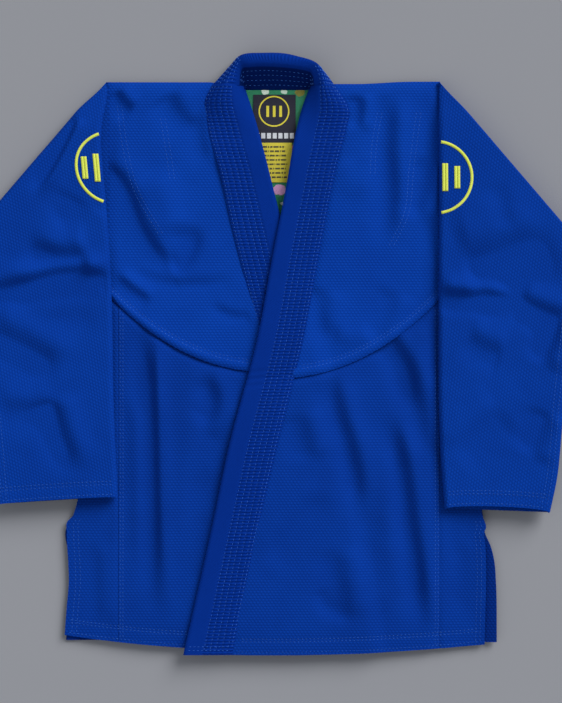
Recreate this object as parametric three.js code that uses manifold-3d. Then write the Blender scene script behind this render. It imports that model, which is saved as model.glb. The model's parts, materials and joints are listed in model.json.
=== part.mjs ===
// A child's wrap-front training jacket of heavy cotton, laid flat with its front up and
// both sleeves folded down over its sides. Millimetres. +Z is up out of the cloth, +Y runs
// from the hem to the collar, and +X is the wearer's left. The origin is on the surface
// that the jacket lies on, under the middle of its outline.
import * as THREE from "three";
import { mergeVertices } from "three/addons/utils/BufferGeometryUtils.js";
import Module from "manifold-3d";

const wasm = await Module();
wasm.setup();

// ---------------------------------------------------------------- driving dimensions
const cloth = 2; // thickness of one layer of the pearl-weave cotton
const trim = 0.8; // thickness of hem turnings, facings and linings
const gap = 0.3; // clearance between neighbouring pieces
const shoulderY = 292; // shoulder fold
const armholeX = 180; // half the width between the two armhole seams
const sideX = 222; // half the width over the side panels
const backHemX = 234; // half the width of the back skirt at its hem
const underarmY = 118;
const gussetHeight = 34;
const ventTopY = -180;
const hemMiddleY = -322;
const hemRise = 10; // how much higher the hem is at the side than in the middle
const seamMiddleY = -27; // lowest point of the curved yoke seam
const seamRise = 84;
const seamPower = 1.7;
const lapelWidth = 52;
const lapelEndY = -325;
const collarTopY = 325;
const collarBaseY = 288; // where the collar behind the neck meets the two front bands
const collarHalfWidth = 67;
const neckHalfWidth = 37;
const neckDepth = 24; // how far the neck hole reaches above the collar's base
const foldEndX = 332; // outer end of the sleeve's diagonal fold
const foldEndY = 116;
const cuffY = -171;
const cuffInnerX = 184;
const cuffOuterX = 298;
const facingDepth = 14; // depth of the hem and cuff turnings
const emblemRadius = 36;
const emblemY = 196;

// Heights of the layers above the surface that the jacket lies on.
const level = {
  back: 0,
  backTrim: cloth + gap,
  label: cloth + 2 * gap + trim,
  front: 9,
  overFront: 15,
  underLapel: 8.4,
  overLapel: 13.8,
  sleeveFront: 12.6,
  sleeveBack: 21,
};
const frontTrim = level.front - gap - trim;
const lapelThickness = 5;
const lapelWall = 1.2;
const sleeveFoldZ = 12;
const overHingeZ = level.overLapel + lapelThickness + gap;
const underHingeZ = level.underLapel + lapelThickness + 0.2;

// Fold lines, each as the two ends of a line seen from above.
const overHinge = { from: [18, 285], to: [170, -325], z: overHingeZ };
const underHinge = { from: [-8, 285], to: [-60, -325], z: underHingeZ };

// ---------------------------------------------------------------- materials
const fabric = (color, roughness = 0.9) => new THREE.MeshStandardMaterial({ color, roughness, metalness: 0 });
const makeMaterial = {
  weave: () => fabric(0x0a3f96),
  band: () => fabric(0x08317f),
  core: () => fabric(0x2b2b2b, 0.8),
  lining: () => fabric(0x0e7a52, 0.7),
  label: () => fabric(0x1a1d2b, 0.6),
  careLabel: () => fabric(0xd9c534, 0.6),
  tape: () => fabric(0x0a3a8c),
  embroidery: () => fabric(0xc9d34a, 0.5),
};

// ---------------------------------------------------------------- solids
/** A closed solid from a flat outline, between two heights. */
function slab(outline, z0, thickness) {
  const shape = new THREE.Shape(outline.map(([x, y]) => new THREE.Vector2(x, y)));
  const geometry = new THREE.ExtrudeGeometry(shape, { depth: thickness, bevelEnabled: false });
  geometry.translate(0, 0, z0);
  geometry.deleteAttribute("normal");
  geometry.deleteAttribute("uv");
  const merged = mergeVertices(geometry, 1e-4);
  return new wasm.Manifold(
    new wasm.Mesh({
      numProp: 3,
      vertProperties: new Float32Array(merged.attributes.position.array),
      triVerts: new Uint32Array(merged.index.array),
    }),
  );
}

/** A rectangle seen from above. */
function rectangle(x0, y0, x1, y1) {
  return [[x0, y0], [x1, y0], [x1, y1], [x0, y1]];
}

/** The same outline on the wearer's other side. */
function mirrored(outline) {
  return outline.map(([x, y]) => [-x, y]).reverse();
}

/** The part of a solid on one side of a fold line: side +1 keeps what is towards +X. */
function beside(solid, line, side, clearance = gap) {
  const reach = 2000;
  const direction = new THREE.Vector2(line.to[0] - line.from[0], line.to[1] - line.from[1]).normalize();
  const across = new THREE.Vector2(-direction.y, direction.x).multiplyScalar(side);
  const middle = new THREE.Vector2(...line.from).addScaledVector(across, reach + clearance);
  const box = new THREE.BoxGeometry(2 * reach, 2 * reach, 2 * reach);
  box.rotateZ(Math.atan2(direction.y, direction.x));
  box.translate(middle.x, middle.y, 0);
  box.deleteAttribute("normal");
  box.deleteAttribute("uv");
  const merged = mergeVertices(box, 1e-4);
  const half = new wasm.Manifold(
    new wasm.Mesh({
      numProp: 3,
      vertProperties: new Float32Array(merged.attributes.position.array),
      triVerts: new Uint32Array(merged.index.array),
    }),
  );
  return solid.intersect(half);
}

const jacket = new THREE.Group();

/** Adds a solid to the jacket as a named mesh. */
function add(name, solid, material) {
  const mesh = solid.getMesh();
  const geometry = new THREE.BufferGeometry();
  geometry.setAttribute("position", new THREE.BufferAttribute(new Float32Array(mesh.vertProperties), 3));
  geometry.setIndex(new THREE.BufferAttribute(new Uint32Array(mesh.triVerts), 1));
  geometry.computeVertexNormals();
  const piece = new THREE.Mesh(geometry, makeMaterial[material]());
  piece.name = name;
  jacket.add(piece);
}

// ---------------------------------------------------------------- outlines
/** Height of the front and back hem at a distance from the middle. */
function hemY(x) {
  return hemMiddleY + hemRise * (x / sideX) ** 2;
}

/** Height of the yoke seam at a distance from the middle. */
function seamY(x) {
  return seamMiddleY + seamRise * (Math.abs(x) / armholeX) ** seamPower;
}

/** Points along a line of the given height function, from x0 to x1. */
function alongCurve(height, x0, x1, steps) {
  return Array.from({ length: steps + 1 }, (_, i) => {
    const x = x0 + ((x1 - x0) * i) / steps;
    return [x, height(x)];
  });
}

/** The whole region above or below the yoke seam, from side to side. */
function seamRegion(above) {
  const reach = 400;
  const shift = above ? gap / 2 : -gap / 2;
  const curve = alongCurve((x) => seamY(x) + shift, -sideX, sideX, 24);
  const y = above ? reach : -reach;
  const far = [[sideX, y], [-sideX, y]];
  return slab([...curve, ...far], -10, 60);
}

/** Middle line of the front band on the wearer's left, from the neck to its end. */
const bandLine = new THREE.CatmullRomCurve3([
  new THREE.Vector3(51, collarBaseY + 6, 0),
  new THREE.Vector3(53, 250, 0),
  new THREE.Vector3(35, 166, 0),
  new THREE.Vector3(6, 8, 0),
  new THREE.Vector3(-34, -158, 0),
  new THREE.Vector3(-70.5, lapelEndY, 0),
]);

/** One edge of the band: side +1 is the edge sewn to the front, -1 is the free edge. */
function bandEdge(side, halfWidth, steps = 14) {
  return Array.from({ length: steps + 1 }, (_, i) => {
    const point = bandLine.getPointAt(i / steps);
    const tangent = bandLine.getTangentAt(i / steps);
    return [point.x - side * halfWidth * tangent.y, point.y + side * halfWidth * tangent.x];
  });
}

/** Adds a point straight on past each end of an edge. */
function lengthened(edge, extra) {
  const beyond = (end, inner) => {
    const length = Math.hypot(end[0] - inner[0], end[1] - inner[1]);
    return end.map((value, i) => value + ((value - inner[i]) * extra) / length);
  };
  return [beyond(edge[0], edge[1]), ...edge, beyond(edge[edge.length - 1], edge[edge.length - 2])];
}

/** The band's outline, made narrower for the core and longer for the hollow around it. */
function bandOutline(halfWidth, extra = 1) {
  const sewn = lengthened(bandEdge(1, halfWidth), extra);
  const free = lengthened(bandEdge(-1, halfWidth), extra);
  return [...free, ...sewn.reverse()];
}

/** A slab across the whole jacket between two distances along Y. */
function crossStrip(y0, y1) {
  return slab(rectangle(-400, y0, 400, y1), -10, 60);
}

/** A half of a rounded arch over the neck, for the collar's outer and inner edges. */
function arch(halfWidth, height, power, base, steps = 20) {
  return Array.from({ length: steps + 1 }, (_, i) => {
    const angle = (Math.PI * i) / steps;
    const c = Math.cos(angle);
    const x = halfWidth * Math.sign(c) * Math.abs(c) ** (2 / power);
    return [x, base + height * Math.sin(angle) ** (2 / power)];
  });
}

/** The horseshoe of the collar behind the neck, grown or shrunk by an inset. */
function collarOutline(inset, base) {
  const rise = collarTopY - collarBaseY - gap;
  const outer = arch(collarHalfWidth - inset, rise - inset, 1.9, base);
  const inner = arch(neckHalfWidth + inset, neckDepth + inset, 2.6, base);
  return [...outer, ...inner.reverse()];
}

// ---------------------------------------------------------------- back and neck
function addBack() {
  const back = slab(
    [
      ...alongCurve(hemY, -armholeX + gap, armholeX - gap, 12),
      [armholeX - gap, shoulderY],
      [-armholeX + gap, shoulderY],
    ],
    level.back,
    cloth,
  );
  add("back_yoke", back.intersect(seamRegion(true)), "weave");
  add("back_skirt", back.intersect(seamRegion(false)), "weave");
  const hem = (x) => hemY(x) + facingDepth;
  const hemOutline = [
    ...alongCurve((x) => hemY(x) + 1, -armholeX + 2, armholeX - 2, 12),
    ...alongCurve(hem, armholeX - 2, -armholeX + 2, 12),
  ];
  add("back_hem_turning", slab(hemOutline, level.backTrim, trim), "tape");
  const liningTop = shoulderY - 6;
  add("back_lining", slab(rectangle(-62, 104, 62, liningTop), level.backTrim, trim), "lining");
  add("neck_label", slab(rectangle(-22, 229, 24, 283), level.label, trim), "label");
  add("care_label", slab(rectangle(-18, 186, 21, 229 - gap), level.label, trim), "careLabel");
}

function addCollar() {
  const base = collarBaseY + gap;
  const height = overHingeZ - gap - level.label;
  const shell = slab(collarOutline(0, base), level.label, height);
  const hollow = slab(collarOutline(lapelWall * 2, base - 5), level.label + lapelWall, height - 2 * lapelWall);
  add("collar_shell", shell.subtract(hollow), "band");
  const core = slab(collarOutline(lapelWall * 2 + gap, base - 5), level.label + lapelWall + gap,
    height - 2 * lapelWall - 2 * gap);
  add("collar_core", core.intersect(crossStrip(base + 0.5, 400)), "core");
  const facing = rectangle(-neckHalfWidth + 6, collarBaseY, neckHalfWidth - 6, collarBaseY + 14);
  add("collar_facing", slab(facing, level.label, cloth), "band");
}

// ---------------------------------------------------------------- fronts
/** The front panel of the wearer's left from the band to the armhole seam. */
function frontOutline() {
  const edge = bandEdge(1, lapelWidth / 2 + gap);
  edge[0] = [edge[0][0], shoulderY];
  const [before, last] = edge.slice(-2);
  const toHem = (hemY(last[0]) - before[1]) / (last[1] - before[1]);
  const cornerX = before[0] + toHem * (last[0] - before[0]);
  edge[edge.length - 1] = [cornerX, hemY(cornerX)];
  return [...edge, ...alongCurve(hemY, cornerX + 4, armholeX - gap, 8), [armholeX - gap, shoulderY]];
}

function addFront(side, over) {
  const flip = side === "left" ? (outline) => outline : mirrored;
  const hinge = over ? overHinge : underHinge;
  const outward = side === "left" ? 1 : -1;
  const flapZ = over ? level.overFront : level.front;
  const bandZ = over ? level.overLapel : level.underLapel;
  const stillPart = (solid) => beside(solid, hinge, outward);
  const flapPart = (solid) => beside(solid, hinge, -outward);

  const still = slab(flip(frontOutline()), level.front, cloth);
  add(`${side}_yoke_side`, stillPart(still.intersect(seamRegion(true))), "weave");
  add(`${side}_skirt_side`, stillPart(still.intersect(seamRegion(false))), "weave");
  const flap = slab(flip(frontOutline()), flapZ, cloth);
  add(`${side}_yoke`, flapPart(flap.intersect(seamRegion(true))), "weave");
  add(`${side}_skirt`, flapPart(flap.intersect(seamRegion(false))), "weave");

  const hemBand = slab(flip(frontOutline()), flapZ - gap - trim, trim);
  const hemStrip = crossStrip(-400, hemMiddleY + facingDepth);
  add(`${side}_front_hem_turning`, flapPart(hemBand.intersect(hemStrip)), "tape");

  const shell = slab(flip(bandOutline(lapelWidth / 2)), bandZ, lapelThickness);
  const hollow = slab(
    flip(bandOutline(lapelWidth / 2 - 2 * lapelWall, 5)),
    bandZ + lapelWall,
    lapelThickness - 2 * lapelWall,
  );
  const band = shell.subtract(hollow).intersect(crossStrip(lapelEndY, collarBaseY));
  add(`${side}_band_neck`, stillPart(band), "band");
  add(`${side}_band`, flapPart(band), "band");
  const core = slab(
    flip(bandOutline(lapelWidth / 2 - 2 * lapelWall - gap)),
    bandZ + lapelWall + gap,
    lapelThickness - 2 * (lapelWall + gap),
  );
  const turnedEnd = 8;
  const coreLength = crossStrip(lapelEndY + turnedEnd, collarBaseY);
  add(`${side}_band_core`, flapPart(core.intersect(coreLength)), "core");

  const shoulderTurn = rectangle(collarHalfWidth + 3, shoulderY - cloth, armholeX - gap, shoulderY);
  const turnHeight = level.front - cloth - 2 * gap;
  add(`${side}_shoulder_turn`, slab(flip(shoulderTurn), level.backTrim, turnHeight), "weave");
  const patch = rectangle(96, 190, 160, shoulderY - cloth - 1);
  add(`${side}_shoulder_patch`, slab(flip(patch), frontTrim, trim), "tape");
}

// ---------------------------------------------------------------- sides
function addSide(side) {
  const flip = side === "left" ? (outline) => outline : mirrored;
  const inner = armholeX + gap;
  const gussetBottom = underarmY - gussetHeight;
  const hemAt = hemY(sideX);
  const backOutline = [
    [inner, hemY(inner)],
    [backHemX, hemAt],
    [sideX + 2, ventTopY - 4],
    [sideX, ventTopY],
    [sideX, underarmY - gap],
    [inner, underarmY - gap],
  ];
  add(`${side}_side_panel_back`, slab(flip(backOutline), level.back, cloth), "weave");
  const frontOutlinePoints = [[inner, hemY(inner)], [sideX, hemAt], [sideX, gussetBottom], [inner, gussetBottom]];
  add(`${side}_side_panel_front`, slab(flip(frontOutlinePoints), level.front, cloth), "weave");
  const gusset = rectangle(inner, gussetBottom + gap, sideX, underarmY - gap);
  add(`${side}_underarm_gusset`, slab(flip(gusset), level.front, cloth), "weave");
  const turn = rectangle(sideX - cloth, ventTopY, sideX, underarmY - 1);
  add(`${side}_side_turn`, slab(flip(turn), level.backTrim, level.front - cloth - 2 * gap), "weave");
  const facing = rectangle(sideX - facingDepth, hemAt + 4, sideX - 1, ventTopY - 2);
  add(`${side}_vent_facing_front`, slab(flip(facing), frontTrim, trim), "tape");
  add(`${side}_vent_facing_back`, slab(flip(facing), level.backTrim, trim), "tape");
}

// ---------------------------------------------------------------- sleeves
/** The sleeve below its diagonal fold, pulled in from its edges by an inset. */
function sleeveOutline(inset = 0) {
  return [
    [armholeX + 1.5 + inset, shoulderY - 3 - 2 * inset],
    [cuffInnerX + inset, cuffY + inset],
    [cuffOuterX - inset, cuffY + inset],
    [foldEndX - 2 - inset, foldEndY + inset],
  ];
}

/** The part of the sleeve's region within a given distance of its cuff. */
function cuffStrip(depth) {
  return crossStrip(cuffY, cuffY + depth);
}

function addSleeve(side) {
  const flip = side === "left" ? (outline) => outline : mirrored;
  const head = [[armholeX + gap, shoulderY - 1.5], [armholeX + gap, underarmY], [foldEndX - 2, underarmY]];
  add(`${side}_sleeve_head_back`, slab(flip(head), level.back, cloth), "weave");
  add(`${side}_sleeve_head_front`, slab(flip(head), level.front, cloth), "weave");
  add(`${side}_sleeve_front`, slab(flip(sleeveOutline()), level.sleeveFront, cloth), "weave");
  add(`${side}_sleeve_back`, slab(flip(sleeveOutline()), level.sleeveBack, cloth), "weave");

  const wallZ = level.sleeveFront + cloth + gap;
  const wallHeight = level.sleeveBack - gap - wallZ;
  const [top, cuffInner, cuffOuter, foldEnd] = sleeveOutline();
  const overarm = [top, cuffInner, [cuffInner[0] + cloth, cuffInner[1]], [top[0] + cloth, top[1] - 2 * cloth]];
  add(`${side}_sleeve_overarm_turn`, slab(flip(overarm), wallZ, wallHeight), "weave");
  const underarm = [
    foldEnd,
    [foldEnd[0] - cloth, foldEnd[1]],
    [cuffOuter[0] - cloth, cuffOuter[1]],
    cuffOuter,
  ];
  add(`${side}_sleeve_underarm_seam`, slab(flip(underarm), wallZ, wallHeight), "weave");

  const ringInset = cloth + gap;
  const ringWall = 0.7;
  const ring = slab(flip(sleeveOutline(ringInset)), wallZ, wallHeight);
  const bore = slab(flip(sleeveOutline(ringInset + ringWall)), wallZ + ringWall, wallHeight - 2 * ringWall);
  const lowered = bore.translate([0, -20, 0]).add(bore);
  add(`${side}_cuff_facing`, ring.subtract(lowered).intersect(cuffStrip(facingDepth)), "tape");

  const centre = cuffInnerX + 0.6;
  const half = Array.from({ length: 13 }, (_, i) => {
    const angle = Math.PI / 2 - (Math.PI * i) / 12;
    return [centre + (emblemRadius - 2) * Math.cos(angle), emblemY + emblemRadius * Math.sin(angle)];
  });
  const thread = 0.6;
  add(`${side}_emblem_back`, slab(flip(half), level.sleeveBack + cloth + gap, thread), "embroidery");
  add(`${side}_emblem_front`, slab(flip(half), level.sleeveFront - gap - thread, thread), "embroidery");
}

addBack();
addCollar();
addFront("left", true);
addFront("right", false);
for (const side of ["left", "right"]) {
  addSide(side);
  addSleeve(side);
}

export default jacket;
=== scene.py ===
"""A child's wrap-front training jacket of blue pearl-weave cotton, laid flat.

Lengths are millimetres in the frame of the CAD model and become metres in the meshes:
+Z is up out of the cloth, +Y runs from the hem to the collar, +X is the wearer's left.
"""

import json
import logging
import math
from collections.abc import Callable, Iterable
from dataclasses import dataclass, field
from enum import Enum

import bmesh
import bpy
import numpy as np
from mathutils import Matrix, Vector, noise


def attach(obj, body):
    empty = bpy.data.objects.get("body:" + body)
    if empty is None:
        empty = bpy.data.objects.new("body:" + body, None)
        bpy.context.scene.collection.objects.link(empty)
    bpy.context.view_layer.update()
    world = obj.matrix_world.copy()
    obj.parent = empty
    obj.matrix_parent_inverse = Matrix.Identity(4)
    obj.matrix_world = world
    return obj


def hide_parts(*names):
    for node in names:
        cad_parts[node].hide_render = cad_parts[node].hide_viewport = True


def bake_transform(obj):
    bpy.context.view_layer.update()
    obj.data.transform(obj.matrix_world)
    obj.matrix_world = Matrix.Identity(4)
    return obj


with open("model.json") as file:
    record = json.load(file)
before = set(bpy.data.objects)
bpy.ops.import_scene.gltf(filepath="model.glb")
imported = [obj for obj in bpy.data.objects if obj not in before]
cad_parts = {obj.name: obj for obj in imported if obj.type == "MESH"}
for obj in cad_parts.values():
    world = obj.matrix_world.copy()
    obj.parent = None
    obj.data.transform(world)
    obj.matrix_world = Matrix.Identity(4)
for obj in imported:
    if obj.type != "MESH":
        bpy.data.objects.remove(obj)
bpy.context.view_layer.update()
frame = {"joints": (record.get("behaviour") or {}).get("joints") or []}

logging.basicConfig(level=logging.INFO, format="%(message)s")
log = logging.getLogger("jacket")

MM = 0.001
Array = np.ndarray
Point2 = tuple[float, float]
Point3 = tuple[float, float, float]

# ------------------------------------------------------------------ driving dimensions
SHOULDER_Y = 292.0
ARMHOLE_X = 180.0
SIDE_X = 222.0
UNDERARM_Y = 118.0
VENT_TOP_Y = -180.0
CUFF_Y = -171.0
HEM_MIDDLE_Y = -319.5
HEM_RISE = 14.0  # how much higher the hem is at the sides
HEM_TURN = 15.0  # width of the hem's turning
VENT_TURN = 13.0  # width of the turnings at the vents
SEAM_MIDDLE_Y = -20.0
SEAM_RISE = 85.0  # how much higher the yoke seam is at the armholes
SEAM_POWER = 2.15
BAND_END_Y = -325.0
BAND_TOP_Y = 290.0
BAND_WIDTH = 53.0
CLOTH = 1.8  # thickness of a layer of cloth
TURNING = 0.9  # thickness of a turning, which is thinner tape
TURNING_DROP = 2.1  # from the face of a front down to the face of the turning inside it
LOWEST_FRONT = 6.6  # the fronts' folds never sink below this height
SHOULDER_ROLL = 13.0  # how far before the shoulder line the cloth starts to round over
FOLD_END = (332.0, 116.0)  # where the sleeve's diagonal fold meets the underarm
FOLD_BEND = (3.0, 13.4)  # heights of the ends of the bend given in a sleeve's hold
FLAP_BLEND = 22.0  # half of the width of the bend given in a front's hold
FOLD_GAIN = 1.7  # strength of every crease


class Side(Enum):
    """A side of the jacket, as the wearer has it."""

    LEFT = "left"
    RIGHT = "right"

    @property
    def sign(self) -> float:
        """+1 towards +X, which is the wearer's left."""
        return 1.0 if self is Side.LEFT else -1.0


# ------------------------------------------------------------------ number helpers
def smooth_step(value: Array, low: float, high: float) -> Array:
    """Goes smoothly from 0 at low to 1 at high."""
    t = np.clip((value - low) / (high - low), 0.0, 1.0)
    return t * t * (3.0 - 2.0 * t)


def ridges(place: Array, shapes: tuple[Point3, ...]) -> Array:
    """Height of ridges and channels at a place, each given as (height, middle, width)."""
    return sum(height * np.exp(-(((place - middle) / width) ** 2)) for height, middle, width in shapes)


def rounded(t: Array) -> Array:
    """The drop of a quarter circle: 0 at 0, and 1 where t reaches 1."""
    return 1 - np.sqrt(1 - t**2)


def hermite(t: Array, start: Array, leaving: Array, end: Array, arriving: Array) -> Array:
    """A cubic from start to end with the given slopes there, for t from 0 to 1."""
    return (
        start * (2 * t**3 - 3 * t**2 + 1)
        + leaving * (t**3 - 2 * t**2 + t)
        + end * (3 * t**2 - 2 * t**3)
        + arriving * (t**3 - t**2)
    )


def along(points: list[Point2], at: Array) -> Array:
    """A smooth function through points, read at the given first values.

    Args:
        points: Pairs of (place, value), in any order.
        at: Places to read.

    Returns:
        The value at each place, straight on past the ends.
    """
    ordered = sorted(points)
    xs = np.array([p[0] for p in ordered])
    ys = np.array([p[1] for p in ordered])
    slopes = np.gradient(ys, xs)
    place = np.clip(np.searchsorted(xs, at) - 1, 0, len(xs) - 2)
    width = xs[place + 1] - xs[place]
    t = np.clip((at - xs[place]) / width, 0.0, 1.0)
    inside = hermite(t, ys[place], slopes[place] * width, ys[place + 1], slopes[place + 1] * width)
    before = np.minimum(at - xs[0], 0.0) * slopes[0]
    after = np.maximum(at - xs[-1], 0.0) * slopes[-1]
    return inside + before + after


def hem_y(x: Array) -> Array:
    """Height of the hem at a distance from the middle."""
    return HEM_MIDDLE_Y + HEM_RISE * (x / SIDE_X) ** 2


def shoulder_y(x: Array) -> Array:
    """Height of the shoulder line, a little fuller towards the sleeves."""
    right = 1.8 * smooth_step(-x, 50.0, 70.0)
    left = 2.4 * smooth_step(x, 90.0, 150.0)
    return SHOULDER_Y + np.where(x < 0, right, left)


def shoulder_drop(x: Array, y: Array) -> Array:
    """How far the cloth has rounded over, from 0 to 1 at the shoulder line."""
    return rounded(np.clip((y - (shoulder_y(x) - SHOULDER_ROLL)) / SHOULDER_ROLL, 0.0, 1.0))


def seam_y(x: Array) -> Array:
    """Height of the curved yoke seam, which sits lower on the wearer's left."""
    middle = SEAM_MIDDLE_Y - 6.5 * smooth_step(x, -25.0, 25.0)
    return middle + SEAM_RISE * (np.abs(x) / ARMHOLE_X) ** SEAM_POWER


def lumps(x: Array, y: Array, size: float, seed: float) -> Array:
    """Soft random unevenness between about -1 and 1."""
    scaled = zip((x / size).ravel(), (y / size).ravel())
    values = [noise.noise(Vector((a, b, seed))) for a, b in scaled]
    return np.array(values).reshape(np.shape(x))


def sideways(route: Array, width: float) -> Array:
    """Steps of half a width to the left of a flat route, at each of its points."""
    direction = np.gradient(route, axis=0)
    direction /= np.linalg.norm(direction, axis=1)[:, None]
    return np.stack([-direction[:, 1], direction[:, 0]], axis=1) * width / 2


def route_over(point: Callable, first: Array, second: Array, steps: Point2) -> tuple[Array, Array]:
    """Points and upward normals along a route on a surface.

    Args:
        point: Gives x, y and z for the surface's two parameters.
        first: The first parameter along the route.
        second: The second parameter along the route.
        steps: Small steps of both, for the normals.

    Returns:
        Points and normals, a row each.
    """
    points = np.stack(point(first, second), axis=1)
    onward = np.stack(point(first + steps[0], second), axis=1) - points
    aside = np.stack(point(first, second + steps[1]), axis=1) - points
    normals = np.cross(aside, onward)
    return points, normals * np.sign(normals[:, 2:3])


# ------------------------------------------------------------------ folds in lying cloth
@dataclass(frozen=True)
class Crease:
    """One fold: a valley where depth is above 0, and a ridge where it is below.

    Attributes:
        route: Points along it, in millimetres.
        depth: How far it sinks below the cloth around it.
        width: Half of its width.
        lean: How much higher the cloth is on the right of the route than on its left.
    """

    route: tuple[Point2, ...]
    depth: float
    width: float
    lean: float = 0.0

    def height(self, x: Array, y: Array) -> Array:
        """Height that this fold adds to the cloth at each point."""
        route = np.array(self.route)
        steps = np.linspace(0.0, len(route) - 1.0, 6 * (len(route) - 1) + 1)
        index = np.arange(len(route), dtype=float)
        smooth_x = along(list(zip(index, route[:, 0])), steps)
        smooth_y = along(list(zip(index, route[:, 1])), steps)
        nearest = np.full(np.shape(x), 1e9)
        offset = np.zeros(np.shape(x))
        place = np.zeros(np.shape(x))
        for i in range(len(steps) - 1):
            ax, ay = smooth_x[i], smooth_y[i]
            dx, dy = smooth_x[i + 1] - ax, smooth_y[i + 1] - ay
            length = math.hypot(dx, dy)
            t = np.clip(((x - ax) * dx + (y - ay) * dy) / length**2, 0.0, 1.0)
            away = np.hypot(x - ax - t * dx, y - ay - t * dy)
            side = ((y - ay) * dx - (x - ax) * dy) / length
            closer = away < nearest
            nearest = np.where(closer, away, nearest)
            offset = np.where(closer, side, offset)
            place = np.where(closer, (i + t) / (len(steps) - 1), place)
        fade = smooth_step(place, 0.0, 0.22) * (1.0 - smooth_step(place, 0.72, 1.0))
        valley = np.exp(-((nearest / self.width) ** 2))
        step = -offset / self.width * np.exp(-((nearest / (1.9 * self.width)) ** 2))
        return FOLD_GAIN * fade * (-self.depth * valley + self.lean * step)


@dataclass(frozen=True)
class Relief:
    """The folds of one stretch of cloth, with the soft unevenness between them."""

    creases: tuple[Crease, ...] = ()
    unevenness: float = 0.5
    seed: float = 1.0

    def height(self, x: Array, y: Array) -> Array:
        """Height above the smooth cloth at each point."""
        total = self.unevenness * lumps(x, y, 46.0, self.seed)
        total += 0.35 * self.unevenness * lumps(x, y, 17.0, self.seed + 9.0)
        for crease in self.creases:
            total = total + crease.height(x, y)
        return total


# ------------------------------------------------------------------ shader expressions
class Value:
    """A shader socket that takes part in Python sums."""

    def __init__(self, nodes: "Nodes", socket: bpy.types.NodeSocket) -> None:
        """Wraps a socket of the given node tree."""
        self.nodes = nodes
        self.socket = socket

    def _math(self, operation: str, *values: "Value | float") -> "Value":
        """Adds one Math node."""
        return self.nodes.add("ShaderNodeMath", {"operation": operation}, dict(enumerate(values)))

    def __add__(self, other: "Value | float") -> "Value":
        """Sum."""
        return self._math("ADD", self, other)

    def __radd__(self, other: float) -> "Value":
        """Sum from the right."""
        return self._math("ADD", other, self)

    def __sub__(self, other: "Value | float") -> "Value":
        """Difference."""
        return self._math("SUBTRACT", self, other)

    def __rsub__(self, other: float) -> "Value":
        """Difference from the right."""
        return self._math("SUBTRACT", other, self)

    def __mul__(self, other: "Value | float") -> "Value":
        """Product."""
        return self._math("MULTIPLY", self, other)

    def __rmul__(self, other: float) -> "Value":
        """Product from the right."""
        return self._math("MULTIPLY", other, self)

    def __truediv__(self, other: "Value | float") -> "Value":
        """Quotient."""
        return self._math("DIVIDE", self, other)

    def __rtruediv__(self, other: float) -> "Value":
        """Quotient from the right."""
        return self._math("DIVIDE", other, self)

    def sine(self) -> "Value":
        """Sine of an angle in radians."""
        return self._math("SINE", self)

    def absolute(self) -> "Value":
        """The size of the value, whatever its sign."""
        return self._math("ABSOLUTE", self)

    def above(self, edge: float) -> "Value":
        """1 where the value is over the edge."""
        return self._math("GREATER_THAN", self, edge)

    def clamped(self, low: float, high: float, start: float = 0.0, end: float = 1.0) -> "Value":
        """Goes from start at low to end at high, and stays within them."""
        inputs = {"Value": self, "From Min": low, "From Max": high, "To Min": start, "To Max": end}
        return self.nodes.add("ShaderNodeMapRange", {"clamp": True}, inputs)


class Nodes:
    """The node tree of one material."""

    def __init__(self, name: str) -> None:
        """Starts an empty material of that name."""
        self.material = bpy.data.materials.new(name)
        self.material.use_nodes = True
        self.tree = self.material.node_tree
        self.tree.nodes.clear()

    def node(self, kind: str, settings: dict, inputs: dict) -> bpy.types.Node:
        """Adds any node.

        Args:
            kind: The node's type.
            settings: Its own settings, such as a Math node's operation.
            inputs: Values or links for its sockets, by name or number.

        Returns:
            The node.
        """
        node = self.tree.nodes.new(kind)
        for key, value in settings.items():
            setattr(node, key, value)
        for key, value in inputs.items():
            socket = node.inputs[key]
            if isinstance(value, Value):
                self.tree.links.new(value.socket, socket)
            else:
                socket.default_value = value
        return node

    def add(self, kind: str, settings: dict, inputs: dict, output: str | int = 0) -> Value:
        """Adds a node and gives one of its outputs as a value."""
        return Value(self, self.node(kind, settings, inputs).outputs[output])

    def cloth_place(self) -> tuple[Value, Value]:
        """Place on the cloth across and along it, in metres."""
        uv = self.add("ShaderNodeUVMap", {"uv_map": "cloth"}, {})
        parts = self.node("ShaderNodeSeparateXYZ", {}, {0: uv})
        return Value(self, parts.outputs[0]), Value(self, parts.outputs[1])

    def cloud(self, scale: float, detail: float = 2.0, roughness: float = 0.5) -> Value:
        """Soft noise between 0 and 1 on the object's own coordinates."""
        place = self.add("ShaderNodeTexCoord", {}, {}, "Object")
        inputs = {"Vector": place, "Scale": scale, "Detail": detail, "Roughness": roughness}
        return self.add("ShaderNodeTexNoise", {}, inputs)

    def mix(self, factor: Value | float, first: tuple | Value, second: tuple | Value) -> Value:
        """Mixes two colours."""
        inputs = {0: factor, 6: _color(first), 7: _color(second)}
        return self.add("ShaderNodeMix", {"data_type": "RGBA"}, inputs, 2)

    def bump(self, height: Value, distance: float, strength: float = 1.0) -> Value:
        """A normal from a height."""
        inputs = {"Height": height, "Distance": distance, "Strength": strength}
        return self.add("ShaderNodeBump", {}, inputs)

    def surface(self, **sockets: object) -> bpy.types.Material:
        """Ends the material with a Principled shader.

        Args:
            sockets: Principled inputs, with underscores for spaces.

        Returns:
            The finished material.
        """
        inputs = {key.replace("_", " "): value for key, value in sockets.items()}
        shader = self.add("ShaderNodeBsdfPrincipled", {}, inputs)
        self.node("ShaderNodeOutputMaterial", {}, {"Surface": shader})
        return self.material


def _color(value: tuple | Value) -> tuple | Value:
    """A colour with its alpha, or the socket as it is."""
    return value if isinstance(value, Value) else (*value, 1.0)


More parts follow.
